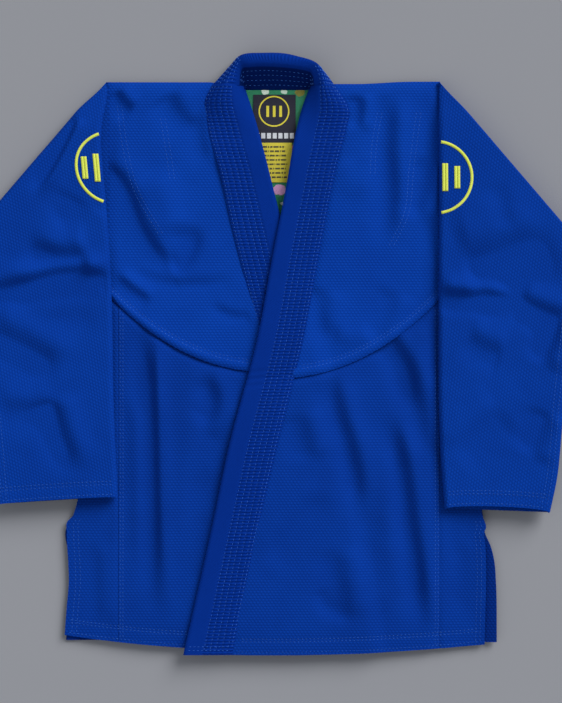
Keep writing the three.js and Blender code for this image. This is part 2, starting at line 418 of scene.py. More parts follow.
# ------------------------------------------------------------------ finishes
@dataclass(frozen=True)
class PearlWeave:
    """Rice-grain cotton: staggered raised grains in rows, matt, with a soft bloom.

    Attributes:
        name: The material's name.
        grain: Colour on top of the grains.
        ground: Colour between them.
        grain_length: Distance from grain to grain along a row, in metres.
        row_height: Distance from row to row, in metres.
        relief: How far the grains stand out, in metres.
    """

    name: str
    grain: tuple[float, float, float] = (0.0026, 0.056, 0.40)
    ground: tuple[float, float, float] = (0.0012, 0.024, 0.215)
    grain_length: float = 0.0038
    row_height: float = 0.0029
    relief: float = 0.00034

    def make(self) -> bpy.types.Material:
        """Builds the material."""
        nodes = Nodes(self.name)
        across, up = nodes.cloth_place()
        wander = nodes.cloud(420.0, 1.0) * 1.3
        grains = (across * (2 * math.pi / self.grain_length) + wander).sine()
        rows = (up * (math.pi / self.row_height) + wander * 0.35).sine()
        pearl = (grains * rows * 0.5 + rows.absolute() * 0.75).clamped(0.1, 1.1)
        thread = (across * (2 * math.pi / (self.grain_length / 5.0))).sine()
        fuzz = nodes.cloud(2600.0, 2.0)
        patch = nodes.cloud(13.0, 3.0, 0.6)
        shade = (pearl * 0.44 + fuzz * 0.26 + patch * 0.42 - 0.06).clamped(0.0, 1.0)
        colour = nodes.mix(shade, self.ground, self.grain)
        height = pearl + thread * 0.06 + fuzz * 0.25
        return nodes.surface(
            Base_Color=colour,
            Roughness=fuzz.clamped(0.2, 0.8, 0.78, 0.95),
            Normal=nodes.bump(height, self.relief),
            Specular_IOR_Level=0.03,
            Sheen_Weight=0.14,
            Sheen_Roughness=0.5,
            Sheen_Tint=(0.01, 0.16, 1.0, 1.0),
        )


@dataclass(frozen=True)
class Drill:
    """Twill-woven cotton of the band: fine slanted ribs and a smoother, deeper blue.

    Attributes:
        name: The material's name.
        high: Colour on top of the ribs.
        low: Colour between them.
        rib: Distance from rib to rib, in metres.
        pucker: How strongly the stitched part is puckered, from 0 to 1.
        pucker_from: Where the stitched part starts across the cloth, in metres.
        inside: A darker colour painted on the part that faces in, as painted shade for the shadow that
            falls there, if there is one.
        painted_shade_to: Where that part ends across the cloth, in metres.
    """

    name: str
    high: tuple[float, float, float] = (0.0024, 0.034, 0.285)
    low: tuple[float, float, float] = (0.0013, 0.018, 0.178)
    rib: float = 0.0016
    pucker: float = 0.0
    pucker_from: float = 0.0185
    inside: tuple[float, float, float] | None = None
    painted_shade_to: float = 0.0

    def make(self) -> bpy.types.Material:
        """Builds the material."""
        nodes = Nodes(self.name)
        across, up = nodes.cloth_place()
        ribs = ((across + up * 0.8) * (2 * math.pi / self.rib)).sine().clamped(-1.0, 1.0)
        cross = ((across - up * 1.4) * (2 * math.pi / (self.rib * 0.7))).sine() * 0.5
        fuzz = nodes.cloud(2400.0, 2.0)
        patch = nodes.cloud(11.0, 3.0, 0.6)
        stitched = across.clamped(self.pucker_from, self.pucker_from + 0.003) * self.pucker
        pucker = (up * (2 * math.pi / 0.0034) + nodes.cloud(160.0) * 2.6).sine() * stitched
        shade = (ribs * 0.28 + fuzz * 0.4 + patch * 0.5 + pucker * 0.17 - 0.14).clamped(0.0, 1.0)
        colour = nodes.mix(shade, self.low, self.high)
        # Painted shade: the part that faces in is mixed towards the darker colour.
        if self.inside is not None:
            colour = nodes.mix(across.clamped(self.painted_shade_to - 0.002, self.painted_shade_to), self.inside, colour)
        return nodes.surface(
            Base_Color=colour,
            Roughness=fuzz.clamped(0.2, 0.8, 0.72, 0.9),
            Normal=nodes.bump(ribs + cross * 0.4 + fuzz * 0.4 + pucker * 2.4, 0.00016),
            Specular_IOR_Level=0.01,
            Sheen_Weight=0.10,
            Sheen_Roughness=0.45,
            Sheen_Tint=(0.01, 0.14, 1.0, 1.0),
        )


@dataclass(frozen=True)
class Thread:
    """Sewing or embroidery thread: fine twisted strands with a satin gloss."""

    name: str
    light: tuple[float, float, float]
    dark: tuple[float, float, float]
    roughness: float = 0.5
    strand: float = 0.0009

    def make(self) -> bpy.types.Material:
        """Builds the material."""
        nodes = Nodes(self.name)
        across, up = nodes.cloth_place()
        twist = ((across * 0.35 + up) * (2 * math.pi / self.strand)).sine().clamped(-1.0, 1.0)
        fuzz = nodes.cloud(1800.0, 2.0)
        shade = (twist * 0.6 + fuzz * 0.5).clamped(0.1, 0.95)
        return nodes.surface(
            Base_Color=nodes.mix(shade, self.dark, self.light),
            Roughness=self.roughness,
            Normal=nodes.bump(twist + fuzz * 0.3, 0.00015),
            Specular_IOR_Level=0.4,
            Sheen_Weight=0.15,
        )


@dataclass(frozen=True)
class PrintedSatin:
    """Smooth lining with a print of soft-edged leaves and petals in plain colours.

    Attributes:
        name: The material's name.
        petals: Single petals, as place across and along in metres, radius and colour.
    """

    name: str
    petals: tuple[tuple[float, float, float, tuple[float, float, float]], ...] = (
        (0.007, 0.178, 0.0075, (0.72, 0.36, 0.62)),
        (-0.0085, 0.2845, 0.0042, (0.62, 0.74, 0.62)),
        (0.012, 0.2845, 0.0035, (0.55, 0.70, 0.58)),
        (0.029, 0.2835, 0.0055, (0.20, 0.19, 0.02)),
        (0.010, 0.163, 0.0022, (0.62, 0.70, 0.66)),
    )

    def make(self) -> bpy.types.Material:
        """Builds the material."""
        nodes = Nodes(self.name)
        across, up = nodes.cloth_place()
        place = nodes.add("ShaderNodeCombineXYZ", {}, {0: across, 1: up})
        spots = nodes.node("ShaderNodeTexVoronoi", {}, {"Vector": place, "Scale": 34.0, "Randomness": 1.0})
        distance = Value(nodes, spots.outputs["Distance"])
        parts = nodes.node("ShaderNodeSeparateXYZ", {}, {0: Value(nodes, spots.outputs["Color"])})
        chosen = Value(nodes, parts.outputs[0])
        drift = nodes.cloud(90.0, 3.0) * 0.18
        blot = (distance + drift).clamped(0.36, 0.31)
        green = nodes.mix(nodes.cloud(60.0, 3.0), (0.004, 0.115, 0.050), (0.012, 0.30, 0.13))
        pale = nodes.mix(chosen.above(0.62), (0.62, 0.60, 0.66), (0.60, 0.13, 0.33))
        colour = nodes.mix(blot * chosen.above(0.42), green, pale)
        for x, y, radius, petal in self.petals:
            away = ((across - x) * (across - x) + (up - y) * (up - y) * 1.6) / (radius * radius)
            ragged = away + nodes.cloud(260.0, 3.0) * 1.3
            colour = nodes.mix(ragged.clamped(1.75, 1.45), colour, petal)
        weave = (across * (2 * math.pi / 0.0007)).sine() * (up * (2 * math.pi / 0.0009)).sine()
        return nodes.surface(
            Base_Color=colour,
            Roughness=nodes.cloud(300.0).clamped(0.2, 0.8, 0.38, 0.52),
            Normal=nodes.bump(weave, 0.00006),
            Specular_IOR_Level=0.4,
            Sheen_Weight=0.1,
        )


@dataclass(frozen=True)
class WovenLabel:
    """A woven label: plain ground with fine weft ribs."""

    name: str
    light: tuple[float, float, float]
    dark: tuple[float, float, float]

    def make(self) -> bpy.types.Material:
        """Builds the material."""
        nodes = Nodes(self.name)
        across, up = nodes.cloth_place()
        weft = (up * (2 * math.pi / 0.0008)).sine()
        warp = (across * (2 * math.pi / 0.0011)).sine()
        fuzz = nodes.cloud(700.0, 2.0)
        shade = (weft * 0.3 + fuzz * 0.8).clamped(0.0, 1.0)
        return nodes.surface(
            Base_Color=nodes.mix(shade, self.dark, self.light),
            Roughness=fuzz.clamped(0.2, 0.8, 0.5, 0.65),
            Normal=nodes.bump(weft + warp * 0.6, 0.00008),
            Specular_IOR_Level=0.35,
        )


@dataclass(frozen=True)
class Surface:
    """The matt surface that the jacket lies on."""

    name: str
    color: tuple[float, float, float]

    def make(self) -> bpy.types.Material:
        """Builds the material."""
        nodes = Nodes(self.name)
        grain = nodes.cloud(40.0)
        low = tuple(0.995 * c for c in self.color)
        return nodes.surface(
            Base_Color=nodes.mix(grain, low, self.color),
            Roughness=0.95,
            Specular_IOR_Level=0.0,
        )


# ------------------------------------------------------------------ cloth pieces
@dataclass
class Patch:
    """Where the points of a grid of cloth go, and their places on the flat cloth."""

    x: Array
    y: Array
    z: Array
    u: Array | None = None
    v: Array | None = None


def cloth_grid(
    name: str, columns: int, rows: int, place: Callable[[Array, Array], Patch], facing: float = 1.0
) -> bpy.types.Object:
    """Makes a piece of cloth from a flat grid.

    Args:
        name: The piece's name.
        columns: Cells across.
        rows: Cells along.
        place: Gives the patch for two arrays that run from 0 to 1.
        facing: 1 when the outer face looks up, -1 when it looks down, 0 to keep the grid's own.

    Returns:
        The piece, with a "cloth" UV map in metres and sharp outer edges.
    """
    mesh_builder = bmesh.new()
    bmesh.ops.create_grid(mesh_builder, x_segments=columns, y_segments=rows, size=1.0)
    mesh_builder.verts.index_update()
    mesh_builder.verts.ensure_lookup_table()
    grid = np.array([v.co[:2] for v in mesh_builder.verts])
    patch = place((grid[:, 0] + 1) / 2, (grid[:, 1] + 1) / 2)
    u = patch.x if patch.u is None else patch.u
    v = patch.y if patch.v is None else patch.v
    for vert, x, y, z in zip(mesh_builder.verts, patch.x, patch.y, patch.z):
        vert.co = (x * MM, y * MM, z * MM)
    layer = mesh_builder.loops.layers.uv.new("cloth")
    for face in mesh_builder.faces:
        face.smooth = True
        for loop in face.loops:
            index = loop.vert.index
            loop[layer].uv = (u[index] * MM, v[index] * MM)
    for edge in mesh_builder.edges:
        edge.smooth = not edge.is_boundary
    mesh_builder.normal_update()
    upward = sum(face.normal.z * face.calc_area() for face in mesh_builder.faces)
    if upward * facing < 0:
        bmesh.ops.reverse_faces(mesh_builder, faces=mesh_builder.faces)
    return finished(name, mesh_builder)


def finished(name: str, mesh_builder: bmesh.types.BMesh) -> bpy.types.Object:
    """Turns a bmesh into an object at the origin."""
    mesh = bpy.data.meshes.new(name)
    mesh_builder.to_mesh(mesh)
    mesh_builder.free()
    made = bpy.data.objects.new(name, mesh)
    bpy.context.scene.collection.objects.link(made)
    return made


def thicken(piece: bpy.types.Object, thickness: float, bevel: float = 0.0) -> None:
    """Gives cloth its thickness below its upper face, and rounds its edges."""
    solid = piece.modifiers.new("thickness", "SOLIDIFY")
    solid.thickness = thickness * MM
    solid.offset = -1.0
    if bevel:
        rounding = piece.modifiers.new("edges", "BEVEL")
        rounding.width = bevel * MM
        rounding.segments = 3
        rounding.limit_method = "ANGLE"
        rounding.angle_limit = math.radians(55)
        rounding.use_clamp_overlap = True


@dataclass
class Hold:
    """How a piece is held: by one body, or left in place when it lies across the joint between two.

    Attributes:
        body: The body that carries it.
        other: The body beyond the joint, for a piece that lies across one; such a piece is left in place.
        start: Where the bend starts, in millimetres; not used.
        end: Where it ends; not used.
    """

    body: str
    other: str | None = None
    start: Point3 = (0.0, 0.0, 0.0)
    end: Point3 = (0.0, 0.0, 0.0)

    def hold(self, piece: bpy.types.Object) -> None:
        """Fixes the piece to its body, or bakes its place into its mesh when it lies across a joint."""
        if self.other is None:
            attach(piece, self.body)
        else:
            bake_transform(piece)


def front_hold(side: Side) -> Hold:
    """The bend where a front turns back, read from the joint in the frame."""
    joint = next(j for j in frame["joints"] if j["name"] == f"{side.value}_front_open")
    pivot = Vector(joint["pos_m"]) / MM
    axis = Vector(joint["axis"]).normalized()
    across = Vector((-axis.y, axis.x, 0.0))
    if across.x * side.sign < 0:
        across.negate()
    start = pivot + across * FLAP_BLEND
    end = pivot - across * FLAP_BLEND
    return Hold("body", f"{side.value}_front", tuple(start), tuple(end))


def sleeve_hold(side: Side) -> Hold:
    """The bend round the sleeve's diagonal fold, from its lower layer to its upper one."""
    x, y = side.sign * FOLD_END[0], FOLD_END[1]
    low, high = FOLD_BEND
    return Hold("body", f"{side.value}_sleeve", (x, y, low), (x, y, high))


class Finishes:
    """The jacket's materials, each made once."""

    def __init__(self) -> None:
        """Makes every finish."""
        self.weave = PearlWeave("pearl_weave").make()
        skirt = PearlWeave("skirt_pearl_weave", (0.0022, 0.045, 0.335), (0.0010, 0.019, 0.175))
        sleeve = PearlWeave("sleeve_pearl_weave", (0.0022, 0.049, 0.36), (0.0010, 0.021, 0.19))
        # The side weave is a darker copy of the same cloth: painted shade for the back's side panels and
        # vent facings, which lie in shadow beside the vents.
        side = PearlWeave("painted_shade_side_pearl_weave", (0.0016, 0.031, 0.25), (0.0008, 0.013, 0.13))
        self.skirt_weave, self.sleeve_weave, self.painted_shade_side_weave = skirt.make(), sleeve.make(), side.make()
        self.band = Drill("band_drill", pucker=1.0).make()
        # The collar's inward face gets a darker colour: painted shade for the shadow under its rim.
        inside = {"inside": (0.0008, 0.010, 0.092), "painted_shade_to": 0.0275}
        self.collar = Drill("collar_drill", pucker=0.8, pucker_from=0.034, **inside).make()
        self.tape = Drill("turning_tape", high=(0.003, 0.045, 0.31), low=(0.002, 0.028, 0.20)).make()
        # The seam thread is the cloth's own blue, painted lighter: a painted highlight where the stitches
        # catch the light, on top of its real gloss.
        self.stitch = Thread("seam_thread", (0.016, 0.15, 0.62), (0.006, 0.07, 0.40), 0.7).make()
        self.embroidery = Thread("embroidery_thread", (0.80, 0.86, 0.10), (0.42, 0.50, 0.03), 0.42).make()
        self.lining = PrintedSatin("printed_lining").make()
        self.label = WovenLabel("neck_label_weave", (0.012, 0.012, 0.034), (0.006, 0.006, 0.016)).make()
        self.care = WovenLabel("care_label_weave", (0.72, 0.62, 0.055), (0.55, 0.46, 0.03)).make()
        self.label_mark = WovenLabel("label_mark_weave", (0.80, 0.70, 0.06), (0.6, 0.5, 0.03)).make()
        self.label_block = WovenLabel("label_block_weave", (0.72, 0.74, 0.78), (0.5, 0.52, 0.56)).make()
        self.ink = WovenLabel("label_ink", (0.10, 0.09, 0.03), (0.05, 0.045, 0.02)).make()


def dress(piece: bpy.types.Object, finish: bpy.types.Material, slot: str, hold: Hold, *nodes: str) -> None:
    """Gives a piece its finish and its hold, and hides the CAD nodes that it stands for."""
    piece.data.materials.append(finish)
    hold.hold(piece)
    if nodes:
        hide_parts(*nodes)
    log.info("%s: %d faces", piece.name, len(piece.data.polygons))


# ------------------------------------------------------------------ stitches
BAND_STITCH = {"length": 2.6, "pitch": 4.6, "width": 0.75}
STITCH_STATIONS = ((-0.5, 0.25, -0.25), (-0.28, 1.0, 0.42), (0.28, 1.0, 0.42), (0.5, 0.25, -0.25))
STITCH_SINK = 0.25


@dataclass
class Stitching:
    """Rows of short stitches that lie on a surface.

    Attributes:
        name: The piece's name.
        length: Length of a stitch.
        pitch: Distance from stitch to stitch.
        width: Width of the thread.
        rows: The rows' points and normals.
    """

    name: str
    length: float = 2.5
    pitch: float = 4.3
    width: float = 0.6
    rows: list[tuple[Array, Array]] = field(default_factory=list)

    def row(self, points: Array, normals: Array) -> None:
        """Adds a row along points in millimetres with the surface's normals there."""
        self.rows.append((points, normals))

    def build(self) -> bpy.types.Object:
        """Makes one mesh of every stitch."""
        mesh_builder = bmesh.new()
        layer = mesh_builder.loops.layers.uv.new("cloth")
        for points, normals in self.rows:
            steps = np.linalg.norm(np.diff(points, axis=0), axis=1)
            run = np.concatenate([[0.0], np.cumsum(steps)])
            count = int(run[-1] / self.pitch)
            for i in range(count):
                self._stitch(mesh_builder, layer, (points, normals, run), (i + 0.5) * self.pitch)
        return finished(self.name, mesh_builder)

    def _stitch(
        self,
        mesh_builder: bmesh.types.BMesh,
        layer: bmesh.types.BMLayerItem,
        row: tuple[Array, Array, Array],
        middle: float,
    ) -> None:
        """One stitch: a low roof with pinched ends.

        Args:
            mesh_builder: The mesh that it is added to.
            layer: The mesh's "cloth" UV map.
            row: Points and normals along the row, and the distance that they are along it.
            middle: How far along the row its middle is.
        """
        points, normals, run = row
        places = middle + np.array([place for place, _, _ in STITCH_STATIONS]) * self.length
        spot = np.stack([np.interp(places, run, points[:, k]) for k in range(3)], axis=1)
        up = np.stack([np.interp(places, run, normals[:, k]) for k in range(3)], axis=1)
        up /= np.linalg.norm(up, axis=1)[:, None]
        direction = spot[3] - spot[0]
        across = np.cross(up[1], direction / np.linalg.norm(direction))
        rings = []
        for k, (_, wide, tall) in enumerate(STITCH_STATIONS):
            half = across * self.width / 2 * wide
            left = spot[k] - half - up[k] * STITCH_SINK
            crown = spot[k] + up[k] * tall
            right = spot[k] + half - up[k] * STITCH_SINK
            rings.append([mesh_builder.verts.new(Vector(p) * MM) for p in (left, crown, right)])
        for first, second in zip(rings, rings[1:]):
            for a, b in ((0, 1), (1, 2)):
                face = mesh_builder.faces.new((first[a], second[a], second[b], first[b]))
                face.smooth = True
                for loop in face.loops:
                    loop[layer].uv = (loop.vert.co.x, loop.vert.co.y)


def normals_along(surface: Callable[[Array, Array], Array], x: Array, y: Array) -> tuple[Array, Array]:
    """Points and upward normals of a height field along a route.

    Args:
        surface: Height at x and y.
        x: Places across.
        y: Places along.

    Returns:
        Points and normals, a row each.
    """
    step = 1.0
    z = surface(x, y)
    dx = (surface(x + step, y) - z) / step
    dy = (surface(x, y + step) - z) / step
    return np.stack([x, y, z], axis=1), np.stack([-dx, -dy, np.ones_like(dx)], axis=1)


# ------------------------------------------------------------------ the front band (lapel)
@dataclass
class Band:
    """One quilted front band, from the side of the collar to the hem.

    Attributes:
        side: The front that it edges.
        sewn: (y, x) of the edge sewn to the front.
        free: (y, x) of the free edge.
        sewn_rise: (y, z) of the upper face at the sewn edge.
        free_rise: (y, z) of the upper face at the free edge.
        end_y: Height of its lower end.
        thickness: Its thickness with the core.
        arch: How far its middle stands up beside the collar.
        arch_from: Height from which it stands up.
        stitch_rows: Places of the quilting rows across it, from 0 at the free edge to 1.
        edge_row: Place of the row at its sewn edge.
    """

    side: Side
    sewn: list[Point2]
    free: list[Point2]
    sewn_rise: list[Point2]
    free_rise: list[Point2]
    end_y: float = BAND_END_Y
    thickness: float = 4.3
    arch: float = 14.5
    arch_from: float = 232.0
    stitch_rows: tuple[float, ...] = (0.40, 0.52, 0.64, 0.76, 0.88)
    edge_row: float = 0.955

    def sewn_x(self, y: Array) -> Array:
        """Place of the sewn edge at a height along the jacket."""
        return along(self.sewn, y)

    def free_x(self, y: Array) -> Array:
        """Place of the free edge at a height along the jacket."""
        return along(self.free, y)

    def point(self, y: Array, s: Array) -> tuple[Array, Array, Array]:
        """A point of the upper face.

        Args:
            y: Height along the jacket.
            s: 0 at the free edge and 1 at the sewn one.

        Returns:
            Its x, y and z.
        """
        x = self.free_x(y) + s * (self.sewn_x(y) - self.free_x(y))
        z = along(self.free_rise, y) * (1 - s) + along(self.sewn_rise, y) * s
        rise = smooth_step(y, self.arch_from, BAND_TOP_Y)
        z = z + self.arch * rise * np.sin(math.pi * np.clip(s, 0, 1) ** 1.16) ** 0.8
        return x, y, z + self._quilting(y, s)

    def _quilting(self, y: Array, s: Array) -> Array:
        """Channels under the rows of stitches, ribs between them and rounded edges."""
        depth = np.zeros(np.shape(s))
        for row in (*self.stitch_rows, self.edge_row):
            depth += ridges((s - row) * BAND_WIDTH, ((-0.75, 0.0, 1.5),))
        stitched = smooth_step(s, 0.34, 0.44) * (1 - smooth_step(s, 0.93, 0.99))
        shift = 1.3 * np.sin(s * 33.0) + 2.0 * lumps(y, s * BAND_WIDTH, 14.0, 5.0)
        ribs = 0.12 * np.sin((y + shift) * (2 * math.pi / 9.0)) * stitched
        seam = ridges(y - 5.0 * (s - 0.5), ((-0.8, -18.0, 2.4), (-1.3, -25.0, 2.4), (-0.8, -32.0, 2.4)))
        near_edge = np.minimum(s, 1 - s) * BAND_WIDTH
        rounding = -1.7 * (1 - np.clip(near_edge / 3.2, 0, 1)) ** 2
        swell = 0.35 * lumps(y, s * BAND_WIDTH, 40.0, 3.0)
        return depth + ribs + seam + rounding + swell

    def build(self, finishes: Finishes) -> None:
        """Makes the band and its stitches."""

        def place(u: Array, v: Array) -> Patch:
            y = self.end_y + v * (BAND_TOP_Y - self.end_y)
            s = 1 - u if self.side is Side.RIGHT else u
            x, y, z = self.point(y, s)
            return Patch(x, y, z, s * BAND_WIDTH, y)

        name = self.side.value
        band = cloth_grid(f"{name}_front_band", 44, 300, place)
        thicken(band, self.thickness, bevel=1.3)
        nodes = (f"{name}_band", f"{name}_band_neck", f"{name}_band_core")
        dress(band, finishes.band, "band", front_hold(self.side), *nodes)
        stitches = Stitching(f"{name}_band_stitches", **BAND_STITCH)
        y = np.linspace(BAND_TOP_Y, self.end_y + 4, 300)
        for row in (*self.stitch_rows, self.edge_row):
            stitches.row(*route_over(self.point, y, np.full_like(y, row), (0.5, 0.01)))
        for rise in (5.0, 9.0):
            s = np.linspace(0.06, 0.95, 30)
            stitches.row(*route_over(self.point, np.full_like(s, self.end_y + rise), s, (0.5, 0.01)))
        dress(stitches.build(), finishes.stitch, "band", front_hold(self.side))


LEFT_BAND = Band(
    Side.LEFT,
    sewn=[
        (290, 67),
        (262, 83),
        (246, 80),
        (199, 68),
        (134, 55),
        (8, 31),
        (-98, 5),
        (-189, -16),
        (-325, -44),
    ],
    free=[
        (290, 40),
        (265, 31),
        (248, 26.5),
        (180, 14),
        (114, 1),
        (17, -17),
        (-99, -47.5),
        (-182, -65),
        (-325, -97),
    ],
    sewn_rise=[(290, 12), (262, 14), (235, 16.5), (160, 18), (0, 19), (-325, 17)],
    free_rise=[(290, 8), (265, 11), (235, 16), (160, 18.5), (0, 19.5), (-325, 17.5)],
)
RIGHT_BAND = Band(
    Side.RIGHT,
    sewn=[(290, -66), (275, -74), (246, -71), (199, -58), (135, -44), (29, -17), (-98, 14), (-325, 56)],
    free=[(290, -31), (250, -18), (218, -9.5), (166, 3.5), (100, 20), (-98, 66), (-325, 108)],
    sewn_rise=[(290, 12), (262, 13), (235, 15), (160, 15), (100, 13.6), (40, 12), (-325, 11.6)],
    free_rise=[(290, 8), (265, 10), (235, 13.5), (157, 14), (90, 13), (40, 11.8), (-325, 11.4)],
    end_y=-322.0,
)
BANDS = {Side.LEFT: LEFT_BAND, Side.RIGHT: RIGHT_BAND}


# ------------------------------------------------------------------ fronts
# Where the fronts sink towards the sides: how far, and from where to where outward.
SIDE_SINKS = ((1.3, 120.0, 170.0), (1.6, 166.0, 180.0), (3.0, 182.0, 222.0))
# Ridges and channels beside the yoke seam and above the hem: height, distance and width.
YOKE_SEAM = ((1.5, 5.0, 6.0), (-0.9, 0.0, 1.6), (-0.45, 11.0, 2.4))
HEM_CHANNELS = ((-0.4, 16.0, 2.2), (-0.3, 3.0, 1.5))
VENT_CURL_WIDTH = 17.0  # distance over which the corner of a vent curls
VENT_CURL_SPAN = (168.0, 196.0)  # how far below the middle the curl starts and is full


@dataclass
class Front:
    """One front: yoke, skirt, side panel, hem and vent turnings, and their stitches.

    Attributes:
        side: The wearer's side that it covers.
        yoke_relief: Folds above the yoke seam.
        skirt_relief: Folds below it.
        side_seam_x: Place of the seam between the skirt and the side panel.
        hem_middle: Height of the hem in the middle.
        hem_rise: How much higher the hem is at the side.
        vent_edge: (y, x) of the side panel's outer edge.
        vent_start: Where the corner of the vent starts to curl, outward.
        vent_curl: How far it curls up, or down below 0.
        vent_rows: Distances of the vent's stitches from its edge.
        low: Height of the upper face where nothing lies under it.
        over_band: How much higher it is over the other front's band.
        patch_rows: (x, y) of the stitches that hold the shoulder patch.
    """

    side: Side
    yoke_relief: Relief
    skirt_relief: Relief
    side_seam_x: float
    hem_middle: float
    hem_rise: float
    vent_edge: list[Point2]
    vent_start: float
    vent_curl: float
    vent_rows: tuple[float, float]
    low: float
    over_band: float
    patch_rows: tuple[tuple[Point2, ...], ...]

    def hem(self, x: Array) -> Array:
        """Height of this front's hem."""
        return self.hem_middle + self.hem_rise * (x / SIDE_X) ** 2

    def smooth_height(self, x: Array, y: Array) -> Array:
        """Height of the upper face without its folds."""
        z = np.full(np.shape(x), self.low)
        if self.side is Side.LEFT:
            under = RIGHT_BAND.free_x(y)
            z = z + self.over_band * (1 - smooth_step(x - under, -3.0, 20.0))
        for sink, low, high in SIDE_SINKS:
            z = z - sink * smooth_step(np.abs(x), low, high)
        z = z - 1.2 * smooth_step(-y, 280.0, 322.0)
        shoulder_z = 5.5
        return z - (z - shoulder_z) * shoulder_drop(x, y)

    def yoke_height(self, x: Array, y: Array) -> Array:
        """Upper face of the yoke."""
        seam = ridges(y - seam_y(x), YOKE_SEAM)
        z = self.smooth_height(x, y) + self.yoke_relief.height(x, y) + seam
        return self._under_sleeve(x, y, np.logaddexp(z, LOWEST_FRONT))

    def skirt_height(self, x: Array, y: Array) -> Array:
        """Upper face of the skirt and of the side panel."""
        below_seam = seam_y(x) - y
        tuck = -2.6 * (1 - smooth_step(below_seam, -2.0, 9.0))
        channel = ridges(y - self.hem(x), HEM_CHANNELS)
        flat = smooth_step(np.abs(x), 200.0, SIDE_X)
        folds = self.skirt_relief.height(x, y) * (1 - 0.7 * flat)
        seam = ridges(np.abs(x), ((-0.2, abs(self.side_seam_x), 1.6),))
        outward = x * self.side.sign
        curl = self.vent_curl * smooth_step(outward, self.vent_start, self.vent_start + VENT_CURL_WIDTH)
        curl = curl * smooth_step(-y, *VENT_CURL_SPAN)
        z = self.smooth_height(x, y) + folds + tuck + channel + seam + curl
        return self._under_sleeve(x, y, np.logaddexp(z, LOWEST_FRONT))

    def _under_sleeve(self, x: Array, y: Array, z: Array) -> Array:
        """Keeps the cloth below the folded sleeve that lies on it."""
        highest = 11.0
        covered = smooth_step(np.abs(x), 176.0, 181.0) * smooth_step(y, CUFF_Y - 12.0, CUFF_Y + 4.0)
        return z - covered * np.maximum(z - highest, 0.0)

    def _panel(
        self, bottom: Callable, top: Callable, outer: float, height: Callable, drop: float = 0.0
    ) -> Callable:
        """A place function for a panel between the armhole or side seam and the band.

        Args:
            bottom: Its lower edge, y at an x.
            top: Its upper edge.
            outer: Place of its outer edge.
            height: Its upper face.
            drop: How far it lies below that face.

        Returns:
            The place function.
        """
        band = BANDS[self.side]

        def place(u: Array, v: Array) -> Patch:
            x = np.full(np.shape(u), outer)
            y = np.zeros(np.shape(u))
            across = u if self.side is Side.RIGHT else 1 - u
            for _ in range(12):
                y = bottom(x) * (1 - v) + top(x) * v
                x = outer * (1 - across) + (band.sewn_x(y) - 3.0 * self.side.sign) * across
            return Patch(x, y, height(x, y) - drop)

        return place

    def build(self, finishes: Finishes) -> None:
        """Makes every piece of this front."""
        name, sign = self.side.value, self.side.sign
        bend = front_hold(self.side)
        yoke_place = self._panel(seam_y, shoulder_y, sign * 181.0, self.yoke_height)
        yoke = cloth_grid(f"{name}_front_yoke", 60, 116, yoke_place)
        thicken(yoke, CLOTH)
        nodes = [f"{name}_{part}" for part in ("yoke", "yoke_side", "shoulder_turn")]
        dress(yoke, finishes.weave, "weave", bend, *nodes)

        outer = self.side_seam_x
        skirt_place = self._panel(self.hem, lambda x: seam_y(x) + 5.0, outer, self.skirt_height)
        skirt = cloth_grid(f"{name}_front_skirt", 84, 136, skirt_place)
        thicken(skirt, CLOTH)
        dress(skirt, finishes.skirt_weave, "weave", bend, f"{name}_skirt", f"{name}_skirt_side")

        turning_place = self._panel(
            self.hem, lambda x: self.hem(x) + HEM_TURN, outer, self.skirt_height, TURNING_DROP
        )
        turning = cloth_grid(f"{name}_front_hem_turn", 84, 4, turning_place)
        thicken(turning, TURNING)
        dress(turning, finishes.weave, "tape", bend, f"{name}_front_hem_turning")

        side_panel = self._side_panel(finishes, bend)
        self._vent_turning(finishes, bend)
        self._reinforcement(finishes)
        self._stitches(finishes, bend)

    def _side_panel(self, finishes: Finishes, bend: Hold) -> bpy.types.Object:
        """The front layer of the side panel, from the underarm to the hem."""
        name, sign = self.side.value, self.side.sign

        def place(u: Array, v: Array) -> Patch:
            inner = self.side_seam_x - 4.0 * sign
            x = np.full(np.shape(u), inner)
            y = np.zeros(np.shape(u))
            across = u if self.side is Side.LEFT else 1 - u
            for _ in range(6):
                y = self.hem(x) * (1 - v) + UNDERARM_Y * v
                x = inner * (1 - across) + along(self.vent_edge, y) * across
            tuck = -1.5 * (1 - smooth_step(np.abs(x - inner), 2.5, 5.0))
            return Patch(x, y, self.skirt_height(x, y) + tuck)

        panel = cloth_grid(f"{name}_side_panel", 16, 120, place)
        thicken(panel, CLOTH)
        nodes = [f"{name}_{part}" for part in ("side_panel_front", "underarm_gusset", "side_turn")]
        dress(panel, finishes.skirt_weave, "weave", bend, *nodes)
        return panel

    def _vent_turning(self, finishes: Finishes, bend: Hold) -> None:
        """The facing turned inside along the front edge of the side vent."""

        def place(u: Array, v: Array) -> Patch:
            x = np.full(np.shape(u), SIDE_X * self.side.sign)
            y = np.zeros(np.shape(u))
            for _ in range(4):
                y = (self.hem(x) + 2.0) * (1 - v) + (VENT_TOP_Y - 2.0) * v
                x = along(self.vent_edge, y) - self.side.sign * (1.0 + VENT_TURN * u)
            return Patch(x, y, self.skirt_height(x, y) - TURNING_DROP)

        facing = cloth_grid(f"{self.side.value}_vent_turn", 4, 40, place)
        thicken(facing, TURNING)
        dress(facing, finishes.weave, "tape", bend, f"{self.side.value}_vent_facing_front")

    def _reinforcement(self, finishes: Finishes) -> None:
        """The patch sewn inside the shoulder."""
        sign = self.side.sign

        def place(u: Array, v: Array) -> Patch:
            x = sign * (96.0 + 66.0 * u)
            y = 186.0 + 92.0 * v
            return Patch(x, y, self.yoke_height(x, y) - 2.2)

        patch = cloth_grid(f"{self.side.value}_shoulder_lining", 16, 20, place)
        thicken(patch, 0.8)
        dress(patch, finishes.weave, "tape", Hold("body"), f"{self.side.value}_shoulder_patch")

